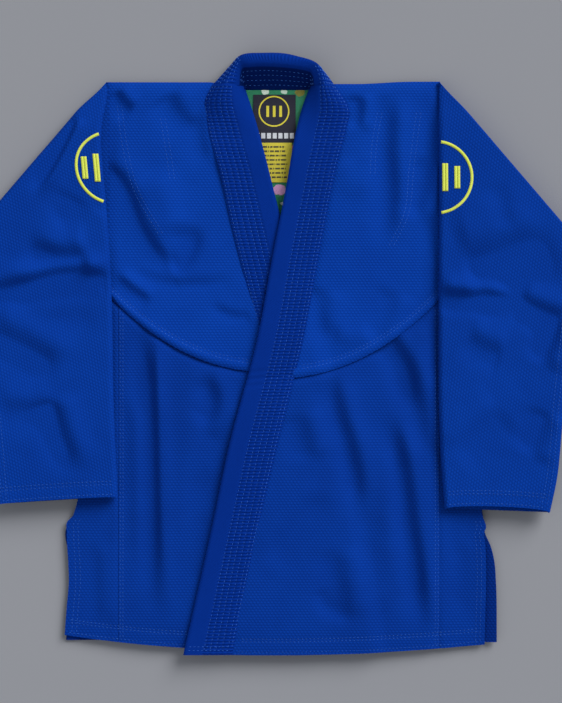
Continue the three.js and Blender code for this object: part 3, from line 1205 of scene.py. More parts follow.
    def _stitches(self, finishes: Finishes, bend: Hold) -> None:
        """Topstitching of the yoke seam, hem, vent, side seam and shoulder patch."""
        band, sign = BANDS[self.side], self.side.sign
        rows = Stitching(f"{self.side.value}_front_stitches")
        x = np.linspace(178.0 * sign, float(band.sewn_x(np.array(0.0))), 160)
        for rise in (9.0, 12.6):
            y = seam_y(x) + rise
            keep = (x - band.sewn_x(y)) * sign > 1.0
            rows.row(*normals_along(self.yoke_height, x[keep], y[keep]))
        x = np.linspace(SIDE_X * sign, float(band.sewn_x(np.array(-310.0))), 160)
        for rise in (14.5, 17.5, 3.5):
            y = self.hem(x) + rise
            keep = ((x - band.sewn_x(y)) * sign > 1.0) & (np.abs(x) < np.abs(along(self.vent_edge, y)) - 3)
            rows.row(*normals_along(self.skirt_height, x[keep], y[keep]))
        for inset in self.vent_rows:
            y = np.linspace(float(self.hem(np.array(SIDE_X))) + 3, VENT_TOP_Y + 2, 44)
            x = along(self.vent_edge, y) - sign * inset
            rows.row(*normals_along(self.skirt_height, x, y))
        y = np.linspace(float(self.hem(np.array(180.0))) + 3, 50.0, 120)
        for inset in (1.5, 4.6):
            x = np.full_like(y, self.side_seam_x - sign * inset)
            rows.row(*normals_along(self.skirt_height, x, y))
        for route in self.patch_rows:
            for aside in (0.0, 5.0):
                y = np.linspace(route[0][1], route[-1][1], 50)
                x = along([(b, a) for a, b in route], y) - sign * aside
                rows.row(*normals_along(self.yoke_height, x, y))
        dress(rows.build(), finishes.stitch, "weave", bend)


RIGHT_FRONT = Front(
    Side.RIGHT,
    yoke_relief=Relief(
        (
            Crease(
                ((-190, 202), (-174, 190), (-161, 170), (-149, 138), (-127, 105), (-96, 90)),
                5.6,
                11.0,
                -3.0,
            ),
            Crease(((-132, 200), (-114, 160), (-104, 124)), -3.2, 18.0),
            Crease(((-112, 92), (-98, 98), (-88, 116), (-80, 140)), 3.0, 9.0, 1.2),
            Crease(((-172, 286), (-162, 272), (-150, 262)), 1.4, 6.0, -2.6),
            Crease(((-116, 284), (-102, 262), (-86, 240)), 1.2, 9.0, -2.4),
            Crease(((-78, 280), (-78, 240), (-70, 200)), 0.6, 7.0, -1.6),
            Crease(((-172, 86), (-150, 68), (-130, 56)), 0.8, 5.0, -1.8),
            Crease(((-160, 96), (-120, 78), (-70, 76), (-40, 84)), 1.2, 7.0, -0.5),
            Crease(((-70, 52), (-40, 40), (-24, 44)), 1.2, 6.0, -0.5),
            Crease(((-150, 40), (-100, 4), (-50, -12)), -1.0, 11.0),
        ),
        0.75,
        1.0,
    ),
    skirt_relief=Relief(
        (
            Crease(
                ((-136, 34), (-133, -20), (-129, -76), (-127, -150), (-126, -220), (-122, -300)),
                0.6,
                7.0,
                -4.6,
            ),
            Crease(((-125, 24), (-124, -60), (-122, -150), (-119, -240)), -0.9, 3.6),
            Crease(((-112, 4), (-111, -60), (-110, -150), (-112, -270)), 0.0, 9.0, -2.2),
            Crease(((-95, 0), (-92, -60), (-96, -140)), 0.0, 8.0, -1.2),
            Crease(((-76, -18), (-64, -44), (-66, -66), (-78, -84)), 1.0, 8.0, -2.6),
            Crease(((-152, -40), (-150, -130), (-148, -250)), 0.0, 7.0, -1.8),
            Crease(((-52, -120), (-70, -190), (-84, -280)), 0.0, 13.0, -1.4),
            Crease(((-190, -200), (-188, -250), (-187, -300)), 0.0, 7.0, -1.4),
            Crease(((-34, -60), (-40, -120), (-52, -180)), 0.0, 10.0, -1.2),
        ),
        0.7,
        2.0,
    ),
    side_seam_x=-167.0,
    hem_middle=-320.9,
    hem_rise=16.0,
    vent_edge=[
        (118, -214),
        (-172, -215.5),
        (-175, -216.5),
        (-181, -222.6),
        (-193, -223.4),
        (-226, -221.8),
        (-246, -221.2),
        (-273, -223.4),
        (-309, -226),
    ],
    vent_start=205.0,
    vent_curl=-4.6,
    vent_rows=(7.5, 12.5),
    low=11.2,
    over_band=0.0,
    patch_rows=(
        ((-169, 270), (-163, 226), (-150, 176), (-123, 128)),
        ((-122, 256), (-116, 220), (-111, 186)),
    ),
)
LEFT_FRONT = Front(
    Side.LEFT,
    yoke_relief=Relief(
        (
            Crease(((130, 284), (127, 230), (130, 170), (124, 112)), 0.8, 8.0, -3.2),
            Crease(((172, 216), (164, 176), (156, 140)), 0.6, 7.0, -2.6),
            Crease(((174, 284), (175, 190), (176, 90)), 0.5, 5.0, -1.6),
            Crease(((92, 282), (94, 262), (90, 240)), 1.2, 6.0, -2.0),
            Crease(((70, 210), (84, 190), (112, 176)), -1.2, 16.0),
            Crease(((56, 74), (52, 44), (60, 12)), 0.6, 9.0, -1.6),
            Crease(((66, 26), (86, 18), (110, 24)), -1.4, 11.0),
            Crease(((136, 70), (124, 40), (112, 10)), 0.5, 8.0, -1.4),
        ),
        0.75,
        3.0,
    ),
    skirt_relief=Relief(
        (
            Crease(((64, -14), (70, -56), (84, -100), (92, -142), (82, -186)), 0.8, 8.0, -3.4),
            Crease(((124, 26), (136, 4), (148, -24), (154, -66)), 1.4, 8.0, -4.2),
            Crease(((150, 40), (154, 0), (162, -60), (170, -110)), 0.0, 8.0, -1.8),
            Crease(((128, -58), (142, -120), (151, -185), (159, -240), (168, -312)), 0.8, 7.0, -4.4),
            Crease(((154, -90), (166, -170), (176, -260)), 0.0, 8.0, -1.6),
            Crease(((28, -60), (36, -90), (42, -118)), 0.4, 9.0, -1.8),
            Crease(((-14, -226), (26, -178), (60, -144)), 1.0, 11.0, -1.4),
            Crease(((48, -252), (60, -276), (92, -288)), 1.5, 9.0),
            Crease(((70, -206), (76, -250), (84, -290)), 0.2, 9.0, -2.0),
            Crease(((112, -90), (116, -170), (112, -250)), 0.0, 12.0, -1.6),
            Crease(((206, -200), (211, -240), (208, -290)), 0.4, 6.0, -1.6),
        ),
        0.7,
        4.0,
    ),
    side_seam_x=180.0,
    hem_middle=-325.5,
    hem_rise=10.4,
    vent_edge=[
        (118, 222),
        (-150, 224),
        (-176, 227),
        (-188, 230.5),
        (-193, 228.5),
        (-205, 229.5),
        (-311, 229),
    ],
    vent_start=214.0,
    vent_curl=2.6,
    vent_rows=(5.0, 9.6),
    low=12.3,
    over_band=3.9,
    patch_rows=(
        ((160, 262), (152, 200), (146, 150), (130, 116)),
        ((118, 262), (112, 226), (110, 190)),
    ),
)


# ------------------------------------------------------------------ collar and neck
@dataclass
class Neck:
    """The collar behind the neck, the printed lining and the two labels.

    Attributes:
        lower: Points of the edge sewn inside the neck, from the wearer's left to the right.
        lower_at: Their places round the neck, from 0 to 1.
        rim: Points of the inner rim.
        crown: Points of the highest part, next to the rim.
        rim_at: Places of the rim's and the crown's points.
        outer: Points of the outer edge.
        outer_at: Their places.
        across_at: Places of the section's knots, from the sewn edge (0) to the outer one (1).
        inner_rows: Places of the rows of stitches inside.
        shoulder_rows: Places of the rows outside, which are stitched near the shoulders only.
    """

    lower: tuple[Point3, ...] = (
        (40, 290, 8),
        (39, 287.3, 4.6),
        (4.5, 286.6, 4.4),
        (-29.5, 287.3, 4.6),
        (-31, 290, 8),
    )
    lower_at: tuple[float, ...] = (0.0, 0.12, 0.5, 0.88, 1.0)
    rim: tuple[Point3, ...] = (
        (45, 290, 16.5),
        (43, 302, 23.4),
        (34.5, 308.5, 26.6),
        (3, 312.5, 27.6),
        (-24.5, 312.5, 27.2),
        (-35, 308, 24),
        (-37, 290, 16.5),
    )
    crown: tuple[Point3, ...] = (
        (55, 290, 24.5),
        (51.5, 304.5, 26),
        (40, 315.5, 27.4),
        (3, 321, 27.6),
        (-29, 320.5, 27.4),
        (-41, 312, 25.5),
        (-50, 290, 24.5),
    )
    rim_at: tuple[float, ...] = (0.0, 0.12, 0.3, 0.5, 0.7, 0.88, 1.0)
    outer: tuple[Point3, ...] = (
        (67, 290, 12),
        (57, 303.5, 10),
        (43, 316, 9),
        (16, 324.8, 9),
        (-12, 326, 9),
        (-35, 323.5, 9),
        (-47.5, 311, 10),
        (-66, 290, 12),
    )
    outer_at: tuple[float, ...] = (0.0, 0.15, 0.3, 0.45, 0.6, 0.75, 0.88, 1.0)
    across_at: tuple[float, ...] = (0.0, 0.52, 0.60, 0.76, 1.0)
    inner_rows: tuple[float, ...] = (0.10, 0.20, 0.30, 0.40)
    shoulder_rows: tuple[float, ...] = (0.71, 0.77, 0.83, 0.88, 0.93, 0.975)

    def _section(self, turn: Array, s: Array) -> tuple[Array, Array, Array]:
        """A point of the collar.

        Args:
            turn: 0 at the wearer's left shoulder and 1 at the right one.
            s: 0 at the edge sewn inside the neck, through the rim and the crown to 1 outside.

        Returns:
            Its x, y and z.
        """
        sets = (
            (self.lower_at, self.lower),
            (self.rim_at, self.rim),
            (self.rim_at, self.crown),
            (self.outer_at, self.outer),
        )
        point = []
        for k in range(3):
            knots = [along([(at, p[k]) for at, p in zip(places, points)], turn) for places, points in sets]
            knots.insert(1, 0.1 * knots[0] + 0.9 * knots[1])
            point.append(self._across(s, knots))
        for row in self.inner_rows:
            point[2] = point[2] + ridges((s - row) * BAND_WIDTH, ((-0.7, 0.0, 1.6),))
        return point[0], point[1], point[2]

    def _across(self, s: Array, knots: list[Array]) -> Array:
        """Goes smoothly through the knots of a section."""
        places = np.array(self.across_at)
        values = np.stack(knots)
        slopes = np.gradient(values, places, axis=0)
        total = np.zeros(np.shape(s))
        for i in range(len(places) - 1):
            width = places[i + 1] - places[i]
            t = (s - places[i]) / width
            last = i == len(places) - 2
            inside = (t >= 0 if i else True) & (t <= 1 if last else t < 1)
            t = np.clip(t, -0.2, 1.2)
            curve = hermite(t, values[i], slopes[i] * width, values[i + 1], slopes[i + 1] * width)
            total = np.where(inside, curve, total)
        return total

    def build(self, finishes: Finishes) -> None:
        """Makes the collar, the lining and the labels."""

        def place(u: Array, v: Array) -> Patch:
            x, y, z = self._section(v, u)
            return Patch(x, y, z, u * BAND_WIDTH, v * 170.0)

        collar = cloth_grid("back_collar", 40, 90, place)
        thicken(collar, 3.4, bevel=1.0)
        dress(collar, finishes.collar, "band", Hold("body"), "collar_shell", "collar_core", "collar_facing")
        stitches = Stitching("back_collar_stitches", **BAND_STITCH)
        runs = [(row, 0.0, 1.0, 120) for row in self.inner_rows]
        for row in self.shoulder_rows:
            runs += [(row, 0.0, 0.24, 40), (row, 0.78, 1.0, 40)]
        for row, low, high, count in runs:
            turn = np.linspace(low, high, count)
            stitches.row(*route_over(self._section, turn, np.full_like(turn, row), (0.002, 0.01)))
        dress(stitches.build(), finishes.stitch, "band", Hold("body"))
        self._lining(finishes)
        self._labels(finishes)

    @staticmethod
    def _lining_height(x: Array, y: Array) -> Array:
        """Upper face of the printed lining."""
        return 3.4 + 0.5 * lumps(x, y, 22.0, 7.0)

    def _lining(self, finishes: Finishes) -> None:
        """The lining of the upper back, seen through the neck."""

        def place(u: Array, v: Array) -> Patch:
            x = -62.0 + 124.0 * u
            y = 104.0 + 182.0 * v
            return Patch(x, y, self._lining_height(x, y))

        lining = cloth_grid("upper_back_lining", 40, 60, place)
        thicken(lining, 0.6)
        dress(lining, finishes.lining, "lining", Hold("body"), "back_lining")

    def _labels(self, finishes: Finishes) -> None:
        """A plain woven neck label over a care label, with marks that say nothing."""
        specs = (
            ("size_label", (-21.5, 24.5), (229.0, 281.0), finishes.label, "label", "neck_label"),
            ("wash_label", (-18.0, 20.5), (186.0, 229.0), finishes.care, "care_label", "care_label"),
        )
        for name, (x0, x1), (y0, y1), finish, slot, node in specs:

            def place(u: Array, v: Array, x0=x0, x1=x1, y0=y0, y1=y1) -> Patch:
                x, y = x0 + (x1 - x0) * u, y0 + (y1 - y0) * v
                return Patch(x, y, self._lining_height(x, y) + 0.9)

            label = cloth_grid(name, 16, 18, place)
            thicken(label, 0.5)
            dress(label, finish, slot, Hold("body"), node)
        self._marks(finishes)

    def _marks(self, finishes: Finishes) -> None:
        """Generic marks: a ring with bars on the neck label, and plain lines below it."""
        mark = flat_strokes("label_mark", self._ring_mark(1.0, 263.0), 1.5, self._mark_height)
        dress(mark, finishes.label_mark, "care_label", Hold("body"))
        blocks = [[(-19.0 + 6.2 * k, 236.5), (-14.6 + 6.2 * k, 236.5)] for k in range(7)]
        size_blocks = flat_strokes("label_blocks", blocks, 6.0, self._mark_height)
        dress(size_blocks, finishes.label_block, "label", Hold("body"))
        lines = []
        for k, y in enumerate(np.arange(224.5, 189.0, -4.7)):
            ends = np.cumsum([0.0, *(4.2 + 2.4 * math.sin(7.0 * k + 2.0 * i) for i in range(9))]) - 16.0
            lines += [[(a, y), (b - 1.1, y)] for a, b in zip(ends, ends[1:]) if b < 18.0]
        ink = flat_strokes("wash_label_lines", lines, 1.7, self._mark_height)
        dress(ink, finishes.ink, "care_label", Hold("body"))

    @staticmethod
    def _ring_mark(x: float, y: float) -> list[list[Point2]]:
        """A round ring round three bars."""
        turns = np.linspace(0.0, 2 * math.pi, 41)
        ring = [(x + 16.0 * math.cos(a), y + 16.0 * math.sin(a)) for a in turns]
        bars = [[(x - 7.5 + 1.4 * k, y - 6.0), (x - 7.5 + 1.4 * k, y + 6.0)] for k in (0, 1, 5, 6, 10, 11)]
        return [ring, *bars]

    def _mark_height(self, x: Array, y: Array) -> Array:
        """Just over the labels."""
        return self._lining_height(x, y) + 1.15


def flat_strokes(
    name: str, strokes: list[list[Point2]], width: float, height: Callable[[Array, Array], Array]
) -> bpy.types.Object:
    """Makes flat woven strokes that lie on a surface.

    Args:
        name: The piece's name.
        strokes: Routes of the strokes' middles.
        width: Their width.
        height: The surface under them.

    Returns:
        One piece with every stroke.
    """
    mesh_builder = bmesh.new()
    layer = mesh_builder.loops.layers.uv.new("cloth")
    for stroke in strokes:
        route = np.array(stroke, dtype=float)
        across = sideways(route, width)
        edges = []
        for side in (-1.0, 1.0):
            edge = route + side * across
            z = height(edge[:, 0], edge[:, 1])
            edges.append([mesh_builder.verts.new((a * MM, b * MM, c * MM)) for (a, b), c in zip(edge, z)])
        for i in range(len(route) - 1):
            corners = (edges[0][i], edges[0][i + 1], edges[1][i + 1], edges[1][i])
            face = mesh_builder.faces.new(corners)
            for loop in face.loops:
                loop[layer].uv = loop.vert.co[:2]
    made = finished(name, mesh_builder)
    thicken(made, 0.3)
    return made


# ------------------------------------------------------------------ back
@dataclass
class Back:
    """The back: yoke, skirt, hem turning and the back layer of the side panels.

    Attributes:
        edges: (y, x) of the side panels' outer edges.
        flare: How far the left edge lifts beside the vent.
        flare_across: Distances outward where the lift starts and is full.
        flare_down: Distances below the middle where it starts and is full.
    """

    edges: dict[Side, list[Point2]]
    flare: float = 5.6
    flare_across: Point2 = (220.0, 246.0)
    flare_down: Point2 = (170.0, 215.0)

    def _height(self, x: Array, y: Array) -> Array:
        """Upper face of the back, which turns up at the shoulders to meet the fronts."""
        ripple = 0.25 * lumps(x, y, 50.0, 12.0)
        return 2.2 + np.abs(ripple) + 2.6 * shoulder_drop(x, y)

    def build(self, finishes: Finishes) -> None:
        """Makes the back's pieces."""
        half = ARMHOLE_X + 1.0

        def strip(bottom: Callable, top: Callable, lift: float = 0.0) -> Callable:
            def place(u: Array, v: Array) -> Patch:
                x = -half + 2 * half * u
                y = bottom(x) * (1 - v) + top(x) * v
                return Patch(x, y, self._height(x, y) + lift)

            return place

        turning = strip(hem_y, lambda x: hem_y(x) + HEM_TURN, 1.1)
        pieces = (
            ("back_yoke_cloth", 80, 70, strip(seam_y, shoulder_y), "back_yoke", "weave", CLOTH),
            ("back_skirt_cloth", 80, 80, strip(hem_y, seam_y), "back_skirt", "weave", CLOTH),
            ("back_hem_turn", 80, 3, turning, "back_hem_turning", "tape", TURNING),
        )
        for name, columns, rows, place, node, slot, thickness in pieces:
            piece = cloth_grid(name, columns, rows, place)
            thicken(piece, thickness)
            dress(piece, finishes.weave, slot, Hold("body"), node)
        for side, edge in self.edges.items():
            self._side(finishes, side, edge)

    def _flare(self, side: Side, x: Array, y: Array) -> Array:
        """How the back's edge lifts beside the left vent."""
        if side is Side.RIGHT:
            return np.zeros(np.shape(x))
        beside, below = self.flare_across, self.flare_down
        return self.flare * smooth_step(np.abs(x), *beside) * smooth_step(-y, *below)

    def _side(self, finishes: Finishes, side: Side, edge: list[Point2]) -> None:
        """The back layer of a side panel and the facing of its vent."""

        def panel(low_inset: float, depth: float | None, top: float, lift: float) -> Callable:
            def place(u: Array, v: Array) -> Patch:
                bottom = edge[-1][0]
                y = bottom + (top - bottom) * v
                outer = along(edge, y) - side.sign * low_inset
                if depth is None:
                    inner = np.full(np.shape(u), side.sign * (ARMHOLE_X - 4.0))
                else:
                    inner = outer - side.sign * depth
                x = inner + (outer - inner) * u
                return Patch(x, y, self._height(x, y) + lift + self._flare(side, x, y))

            return place

        name = side.value
        layer = panel(0.0, None, UNDERARM_Y, 0.0)
        facing = panel(1.0, VENT_TURN, VENT_TOP_Y, 1.1)
        pieces = (
            ("side_panel_under", 14, 90, layer, "side_panel_back", "weave", CLOTH),
            ("vent_turn_under", 4, 40, facing, "vent_facing_back", "tape", TURNING),
        )
        for part, columns, rows, place, node, slot, thickness in pieces:
            piece = cloth_grid(f"{name}_{part}", columns, rows, place)
            thicken(piece, thickness)
            # Painted shade: both pieces take the darker side weave, which stands in for the shadow that
            # they lie in.
            dress(piece, finishes.painted_shade_side_weave, slot, Hold("body"), f"{name}_{node}")
        rows = Stitching(f"{name}_back_vent_stitches")
        y = np.linspace(-306.0, VENT_TOP_Y - 6.0, 60)
        for inset in (3.0, 11.0):
            x = along(edge, y) - side.sign * inset
            points = np.stack([x, y, self._height(x, y) + self._flare(side, x, y)], axis=1)
            rows.row(points, np.tile([0.0, 0.0, 1.0], (len(y), 1)))
        dress(rows.build(), finishes.stitch, "weave", Hold("body"))


BACK = Back(
    {
        Side.RIGHT: [
            (118, -213),
            (-174, -214),
            (-183, -221.5),
            (-226, -219.5),
            (-246, -219.5),
            (-310, -224.5),
        ],
        Side.LEFT: [
            (118, 222),
            (-165, 226),
            (-187, 229),
            (-193, 229.3),
            (-207, 235),
            (-226, 239.5),
            (-246, 241),
            (-312, 242),
        ],
    }
)


# ------------------------------------------------------------------ sleeves
# Shares of the outer skin's grid: the head ends and the turn at the fold starts, the turn ends.
HEAD_END = 0.22
TURN_END = 0.32
FOLD_WRAP = 24.0  # cloth that goes round the fold
ARMHOLE_LEAN = 0.06  # how much higher the sleeve's head starts, for each millimetre before the fold
WALL_SHARE = 0.06  # share of the inner skin's grid that turns up at each edge
CUFF_TURN = 18.6  # depth of the turning inside the cuff


@dataclass
class Sleeve:
    """One sleeve, folded at the shoulder and laid down over the side.

    Attributes:
        side: The wearer's side that it is on.
        inner_edge: (y, x) of the folded sleeve's edge over the jacket, as on the left side.
        outer_edge: (y, x) of its outer edge, as on the left side.
        cuff_inner: Height of the cuff at the inner edge.
        cuff_outer: Height of the cuff at the outer edge.
        relief: Folds of the upper layer.
        emblem_y: Height of the badge's middle.
        emblem_inset: How far the badge's middle lies beyond the inner edge.
        roll: How far the cloth bulges at the diagonal fold.
        mouth: How far the upper layer is pulled back at the cuff.
        tip: The shoulder point, where the diagonal fold starts.
        top_z: Height of the upper face.
        under_z: Height of the under layer's upper face.
        edge_round: Radius of the rounded edges.
    """

    side: Side
    inner_edge: list[Point2]
    outer_edge: list[Point2]
    cuff_inner: float
    cuff_outer: float
    relief: Relief
    emblem_y: float
    emblem_inset: float
    roll: float
    mouth: float
    tip: Point2 = (ARMHOLE_X, SHOULDER_Y + 1.6)
    top_z: float = 21.6
    under_z: float = 13.9
    edge_round: float = 4.0

    def _diagonal(self, a: Array) -> tuple[Array, Array]:
        """A point of the fold line, from the shoulder point (0) to the underarm (1)."""
        (x0, y0), (x1, y1) = self.tip, FOLD_END
        return x0 + (x1 - x0) * a, y0 + (y1 - y0) * a

    def _folded(self, a: Array, t: Array) -> tuple[Array, Array]:
        """A place on the folded sleeve: a across it, t from the fold (0) to the cuff (1)."""
        x0, y0 = self._diagonal(a)
        cuff_y = self._cuff_line(a)
        y = y0 + (cuff_y - y0) * t
        inner = along(self.inner_edge, y)
        outer = along(self.outer_edge, y)
        cuff_x = along(self.inner_edge, cuff_y) * (1 - a) + along(self.outer_edge, cuff_y) * a
        straight = x0 + (cuff_x - x0) * t
        fit_inner = (inner - self._ideal(self.inner_edge, 0.0, y)) * (1 - a)
        fit_outer = (outer - self._ideal(self.outer_edge, 1.0, y)) * a
        return straight + (fit_inner + fit_outer) * smooth_step(t, 0.0, 0.1), y

    def _ideal(self, edge: list[Point2], a: float, y: Array) -> Array:
        """The straight line that an edge bows away from."""
        x0, y0 = self._diagonal(np.array(a))
        end_y = self.cuff_inner if a == 0.0 else self.cuff_outer
        end_x = along(edge, np.array(end_y))
        return x0 + (end_x - x0) * np.clip((y - y0) / (end_y - y0), 0.0, 1.0)

    def _height(self, x: Array, y: Array) -> Array:
        """Upper face of the folded sleeve, without its rounded edges."""
        from_tip = np.hypot(x - self.tip[0], y - self.tip[1])
        z = 15.0 + (self.top_z - 15.0) * smooth_step(from_tip, 0.0, 60.0)
        folds = self.relief.height(x, y)
        return np.maximum(z + folds * smooth_step(from_tip, 10.0, 60.0), np.minimum(z, 18.9))

    def _unfold(self, x: Array, y: Array) -> tuple[Array, Array]:
        """Where a point lies when the sleeve is folded out."""
        along_fold = np.array([FOLD_END[0] - self.tip[0], FOLD_END[1] - self.tip[1]])
        along_fold /= np.linalg.norm(along_fold)
        dx, dy = x - self.tip[0], y - self.tip[1]
        dot = dx * along_fold[0] + dy * along_fold[1]
        return self.tip[0] + 2 * dot * along_fold[0] - dx, self.tip[1] + 2 * dot * along_fold[1] - dy

    def _patch(self, x: Array, y: Array, z: Array, u: Array, v: Array) -> Patch:
        """A patch on this sleeve's own side of the jacket."""
        return Patch(self.side.sign * x, y, z, u, v)

    def _flip(self, u: Array) -> Array:
        """Runs the grid the other way on the mirrored side, so that faces point out."""
        return u if self.side is Side.LEFT else 1 - u

    def _upper(self, a: Array, t: Array) -> tuple[Array, Array, Array]:
        """A point of the upper face of the folded sleeve, with its edges rounded."""
        lift = self.mouth * np.sin(math.pi * np.clip(a, 0.0, 1.0)) ** 0.4
        t = t * (1 - lift / (self._diagonal(a)[1] - self._cuff_line(a)))
        x, y = self._folded(a, t)
        width = along(self.outer_edge, y) - along(self.inner_edge, y)
        z = self._height(x, y)
        near = np.minimum(a, 1 - a) * width
        drop = rounded(1 - np.clip(near / self.edge_round, 0, 1))
        hem = ridges(y - self._cuff_line(a), ((-0.45, HEM_TURN, 2.4),))
        fall = 1.4 + 1.5 * smooth_step(np.hypot(x - self.tip[0], y - self.tip[1]), 5.0, 50.0)
        return x, y, z - fall * drop + hem

    def _cuff_line(self, a: Array) -> Array:
        """Height of the cuff's edge across the sleeve."""
        return self.cuff_inner + (self.cuff_outer - self.cuff_inner) * a

    def _head(self, a: Array, share: Array) -> tuple[Array, Array]:
        """A place on the sleeve's head, from the armhole (0) to the diagonal fold (1)."""
        dx, dy = self._diagonal(a)
        start_x = np.full(np.shape(a), ARMHOLE_X - 2.0)
        start_y = dy + (dx - start_x) * ARMHOLE_LEAN
        return start_x + (dx - start_x) * share, start_y + (dy - start_y) * share

    def _outer_skin(self, u: Array, v: Array) -> Patch:
        """The sleeve's back face: under the jacket, round the fold and over the top."""
        a = self._flip(u)
        low_z = 0.4
        turn = np.clip((v - HEAD_END) / (TURN_END - HEAD_END), 0.0, 1.0)
        t = np.clip((v - TURN_END) / (1 - TURN_END), 0.0, 1.0)
        dx, dy = self._diagonal(a)
        head_x, head_y = self._head(a, np.clip(v / HEAD_END, 0.0, 1.0))
        normal = np.array([-(FOLD_END[1] - self.tip[1]), FOLD_END[0] - self.tip[0]])
        normal = normal / np.linalg.norm(normal)
        angle = (turn - 0.5) * math.pi
        bulge = self.roll * np.cos(angle) * smooth_step(a, 0.0, 0.2)
        fold_z = self._upper(a, np.zeros(np.shape(a)))[2]
        round_z = 0.5 * (fold_z + low_z) + 0.5 * (fold_z - low_z) * np.sin(angle)
        top_x, top_y, top_z = self._upper(a, t)
        in_head, in_top = v < HEAD_END, v > TURN_END
        x = np.where(in_head, head_x, np.where(in_top, top_x, dx + bulge * normal[0]))
        y = np.where(in_head, head_y, np.where(in_top, top_y, dy + bulge * normal[1]))
        z = np.where(in_head, low_z, np.where(in_top, top_z, round_z))
        flat_x, flat_y = self._unfold(top_x, top_y)
        u_flat = np.where(in_top, flat_x + FOLD_WRAP, np.where(in_head, head_x, dx + FOLD_WRAP * turn))
        v_flat = np.where(in_top, flat_y, np.where(in_head, head_y, dy))
        return self._patch(x, y, z, u_flat, v_flat)

    def _inner_skin(self, u: Array, v: Array) -> Patch:
        """The sleeve's front face, which lies underneath, with the turns at its edges.

        It starts a little after the fold, so that it clears the sleeve's head when unfolded.
        """
        across = self._flip(u)
        a = np.clip((across - WALL_SHARE) / (1 - 2 * WALL_SHARE), 0.0, 1.0)
        up_in = np.clip(1 - across / WALL_SHARE, 0.0, 1.0)
        up_out = np.clip((across - 1 + WALL_SHARE) / WALL_SHARE, 0.0, 1.0)
        clearance = 1.0 + 2.5 * (1 - a)
        fold_to_cuff = 299.0 - 138.0 * a
        start = clearance / fold_to_cuff
        t = start + (0.998 - start) * v
        x, y = self._folded(a, t)
        rim_x, rim_y, rim_z = self._upper(a, t)
        up = up_in + up_out
        bulge = 1.3 * np.sin(math.pi * up) - 0.9 * up
        x = x - bulge * np.where(across < 0.5, 1.0, -1.0) * (up > 0)
        under = self._under(x, y)
        z = under + (rim_z - 0.4 - under) * up
        flat_x, flat_y = self._unfold(x, y)
        return self._patch(x, y, z, flat_x, flat_y + (up_in - up_out) * (rim_z - under))

    def _under(self, x: Array, y: Array) -> Array:
        """Lower face of the folded sleeve's under layer, with shallow folds of its own."""
        from_edges = smooth_step(np.hypot(x - self.tip[0], y - self.tip[1]), 10.0, 70.0)
        rise = 1.1 + 1.5 * lumps(x, y, 38.0, 21.0 + self.side.sign) + 0.6 * lumps(x, y, 15.0, 31.0)
        return self.under_z - 1.8 + np.maximum(rise, 0.0) * from_edges

    def _head_front(self, u: Array, v: Array) -> Patch:
        """The front layer between the armhole and the fold."""
        x, y = self._head(self._flip(u), v)
        return self._patch(x, y, 10.6 + 0.4 * v, x, y)

    def _cuff_turn(self, u: Array, v: Array) -> Patch:
        """The hem turned inside the cuff, as a loop round its mouth."""
        angle = u * 2 * math.pi * (1.0 if self.side is Side.LEFT else -1.0)
        a = 0.5 - 0.472 * np.sign(np.cos(angle)) * np.abs(np.cos(angle)) ** 0.35
        t_cuff = 0.994 - 0.05 * v
        x, y, z = self._upper(np.clip(a, 0.03, 0.97), t_cuff)
        middle = 0.5 * (z - 2.4 + self.under_z + 0.6)
        half = 0.5 * (z - 2.4 - self.under_z - 0.6)
        z = middle + half * np.sign(np.sin(angle)) * np.abs(np.sin(angle)) ** 0.5
        outer = along(self.outer_edge, np.array(self.cuff_outer))
        inner = along(self.inner_edge, np.array(self.cuff_inner))
        return self._patch(x, y, z, u * 2.0 * (outer - inner), v * CUFF_TURN)

    def build(self, finishes: Finishes) -> None:
        """Makes the sleeve's pieces."""
        name = self.side.value
        outer = cloth_grid(f"{name}_sleeve_outer", 60, 190, self._outer_skin)
        thicken(outer, CLOTH)
        nodes = [f"{name}_sleeve_back", f"{name}_sleeve_head_back"]
        dress(outer, finishes.sleeve_weave, "weave", sleeve_hold(self.side), *nodes)

        inner = cloth_grid(f"{name}_sleeve_inner", 66, 120, self._inner_skin, facing=-1.0)
        thicken(inner, CLOTH)
        parts = ("sleeve_front", "sleeve_overarm_turn", "sleeve_underarm_seam")
        nodes = [f"{name}_{part}" for part in parts]
        dress(inner, finishes.sleeve_weave, "weave", Hold(f"{name}_sleeve"), *nodes)

        head = cloth_grid(f"{name}_sleeve_head", 40, 40, self._head_front)
        thicken(head, CLOTH)
        dress(head, finishes.sleeve_weave, "weave", Hold("body"), f"{name}_sleeve_head_front")

        cuff = cloth_grid(f"{name}_cuff_turn", 96, 4, self._cuff_turn, facing=0.0)
        thicken(cuff, 0.7)
        dress(cuff, finishes.sleeve_weave, "tape", Hold(f"{name}_sleeve"), f"{name}_cuff_facing")
        self._stitches(finishes)
        Emblem(self).build(finishes)

    def _stitches(self, finishes: Finishes) -> None:
        """Rows round the cuff and along the underarm seam."""
        rows = Stitching(f"{self.side.value}_sleeve_stitches")
        a = np.linspace(0.03, 0.97, 60)
        for rise in (13.5, 17.0, 3.0):
            x0, y0 = self._diagonal(a)
            rows.row(*self._route(a, 1 - rise / (y0 - self._cuff_line(a))))
        t = np.linspace(0.12, 0.99, 120)
        y = self._folded(np.ones_like(t), t)[1]
        width = along(self.outer_edge, y) - along(self.inner_edge, y)
        for aside in (5.0, 10.5):
            rows.row(*self._route(1 - aside / width, t))
        dress(rows.build(), finishes.stitch, "weave", Hold(f"{self.side.value}_sleeve"))

    def _route(self, a: Array, t: Array) -> tuple[Array, Array]:
        """Points and normals along a row on the upper face, on this sleeve's own side."""
        points, normals = route_over(self._upper, a, t, (0.005, 0.004))
        points[:, 0] *= self.side.sign
        normals[:, 0] *= self.side.sign
        return points, normals


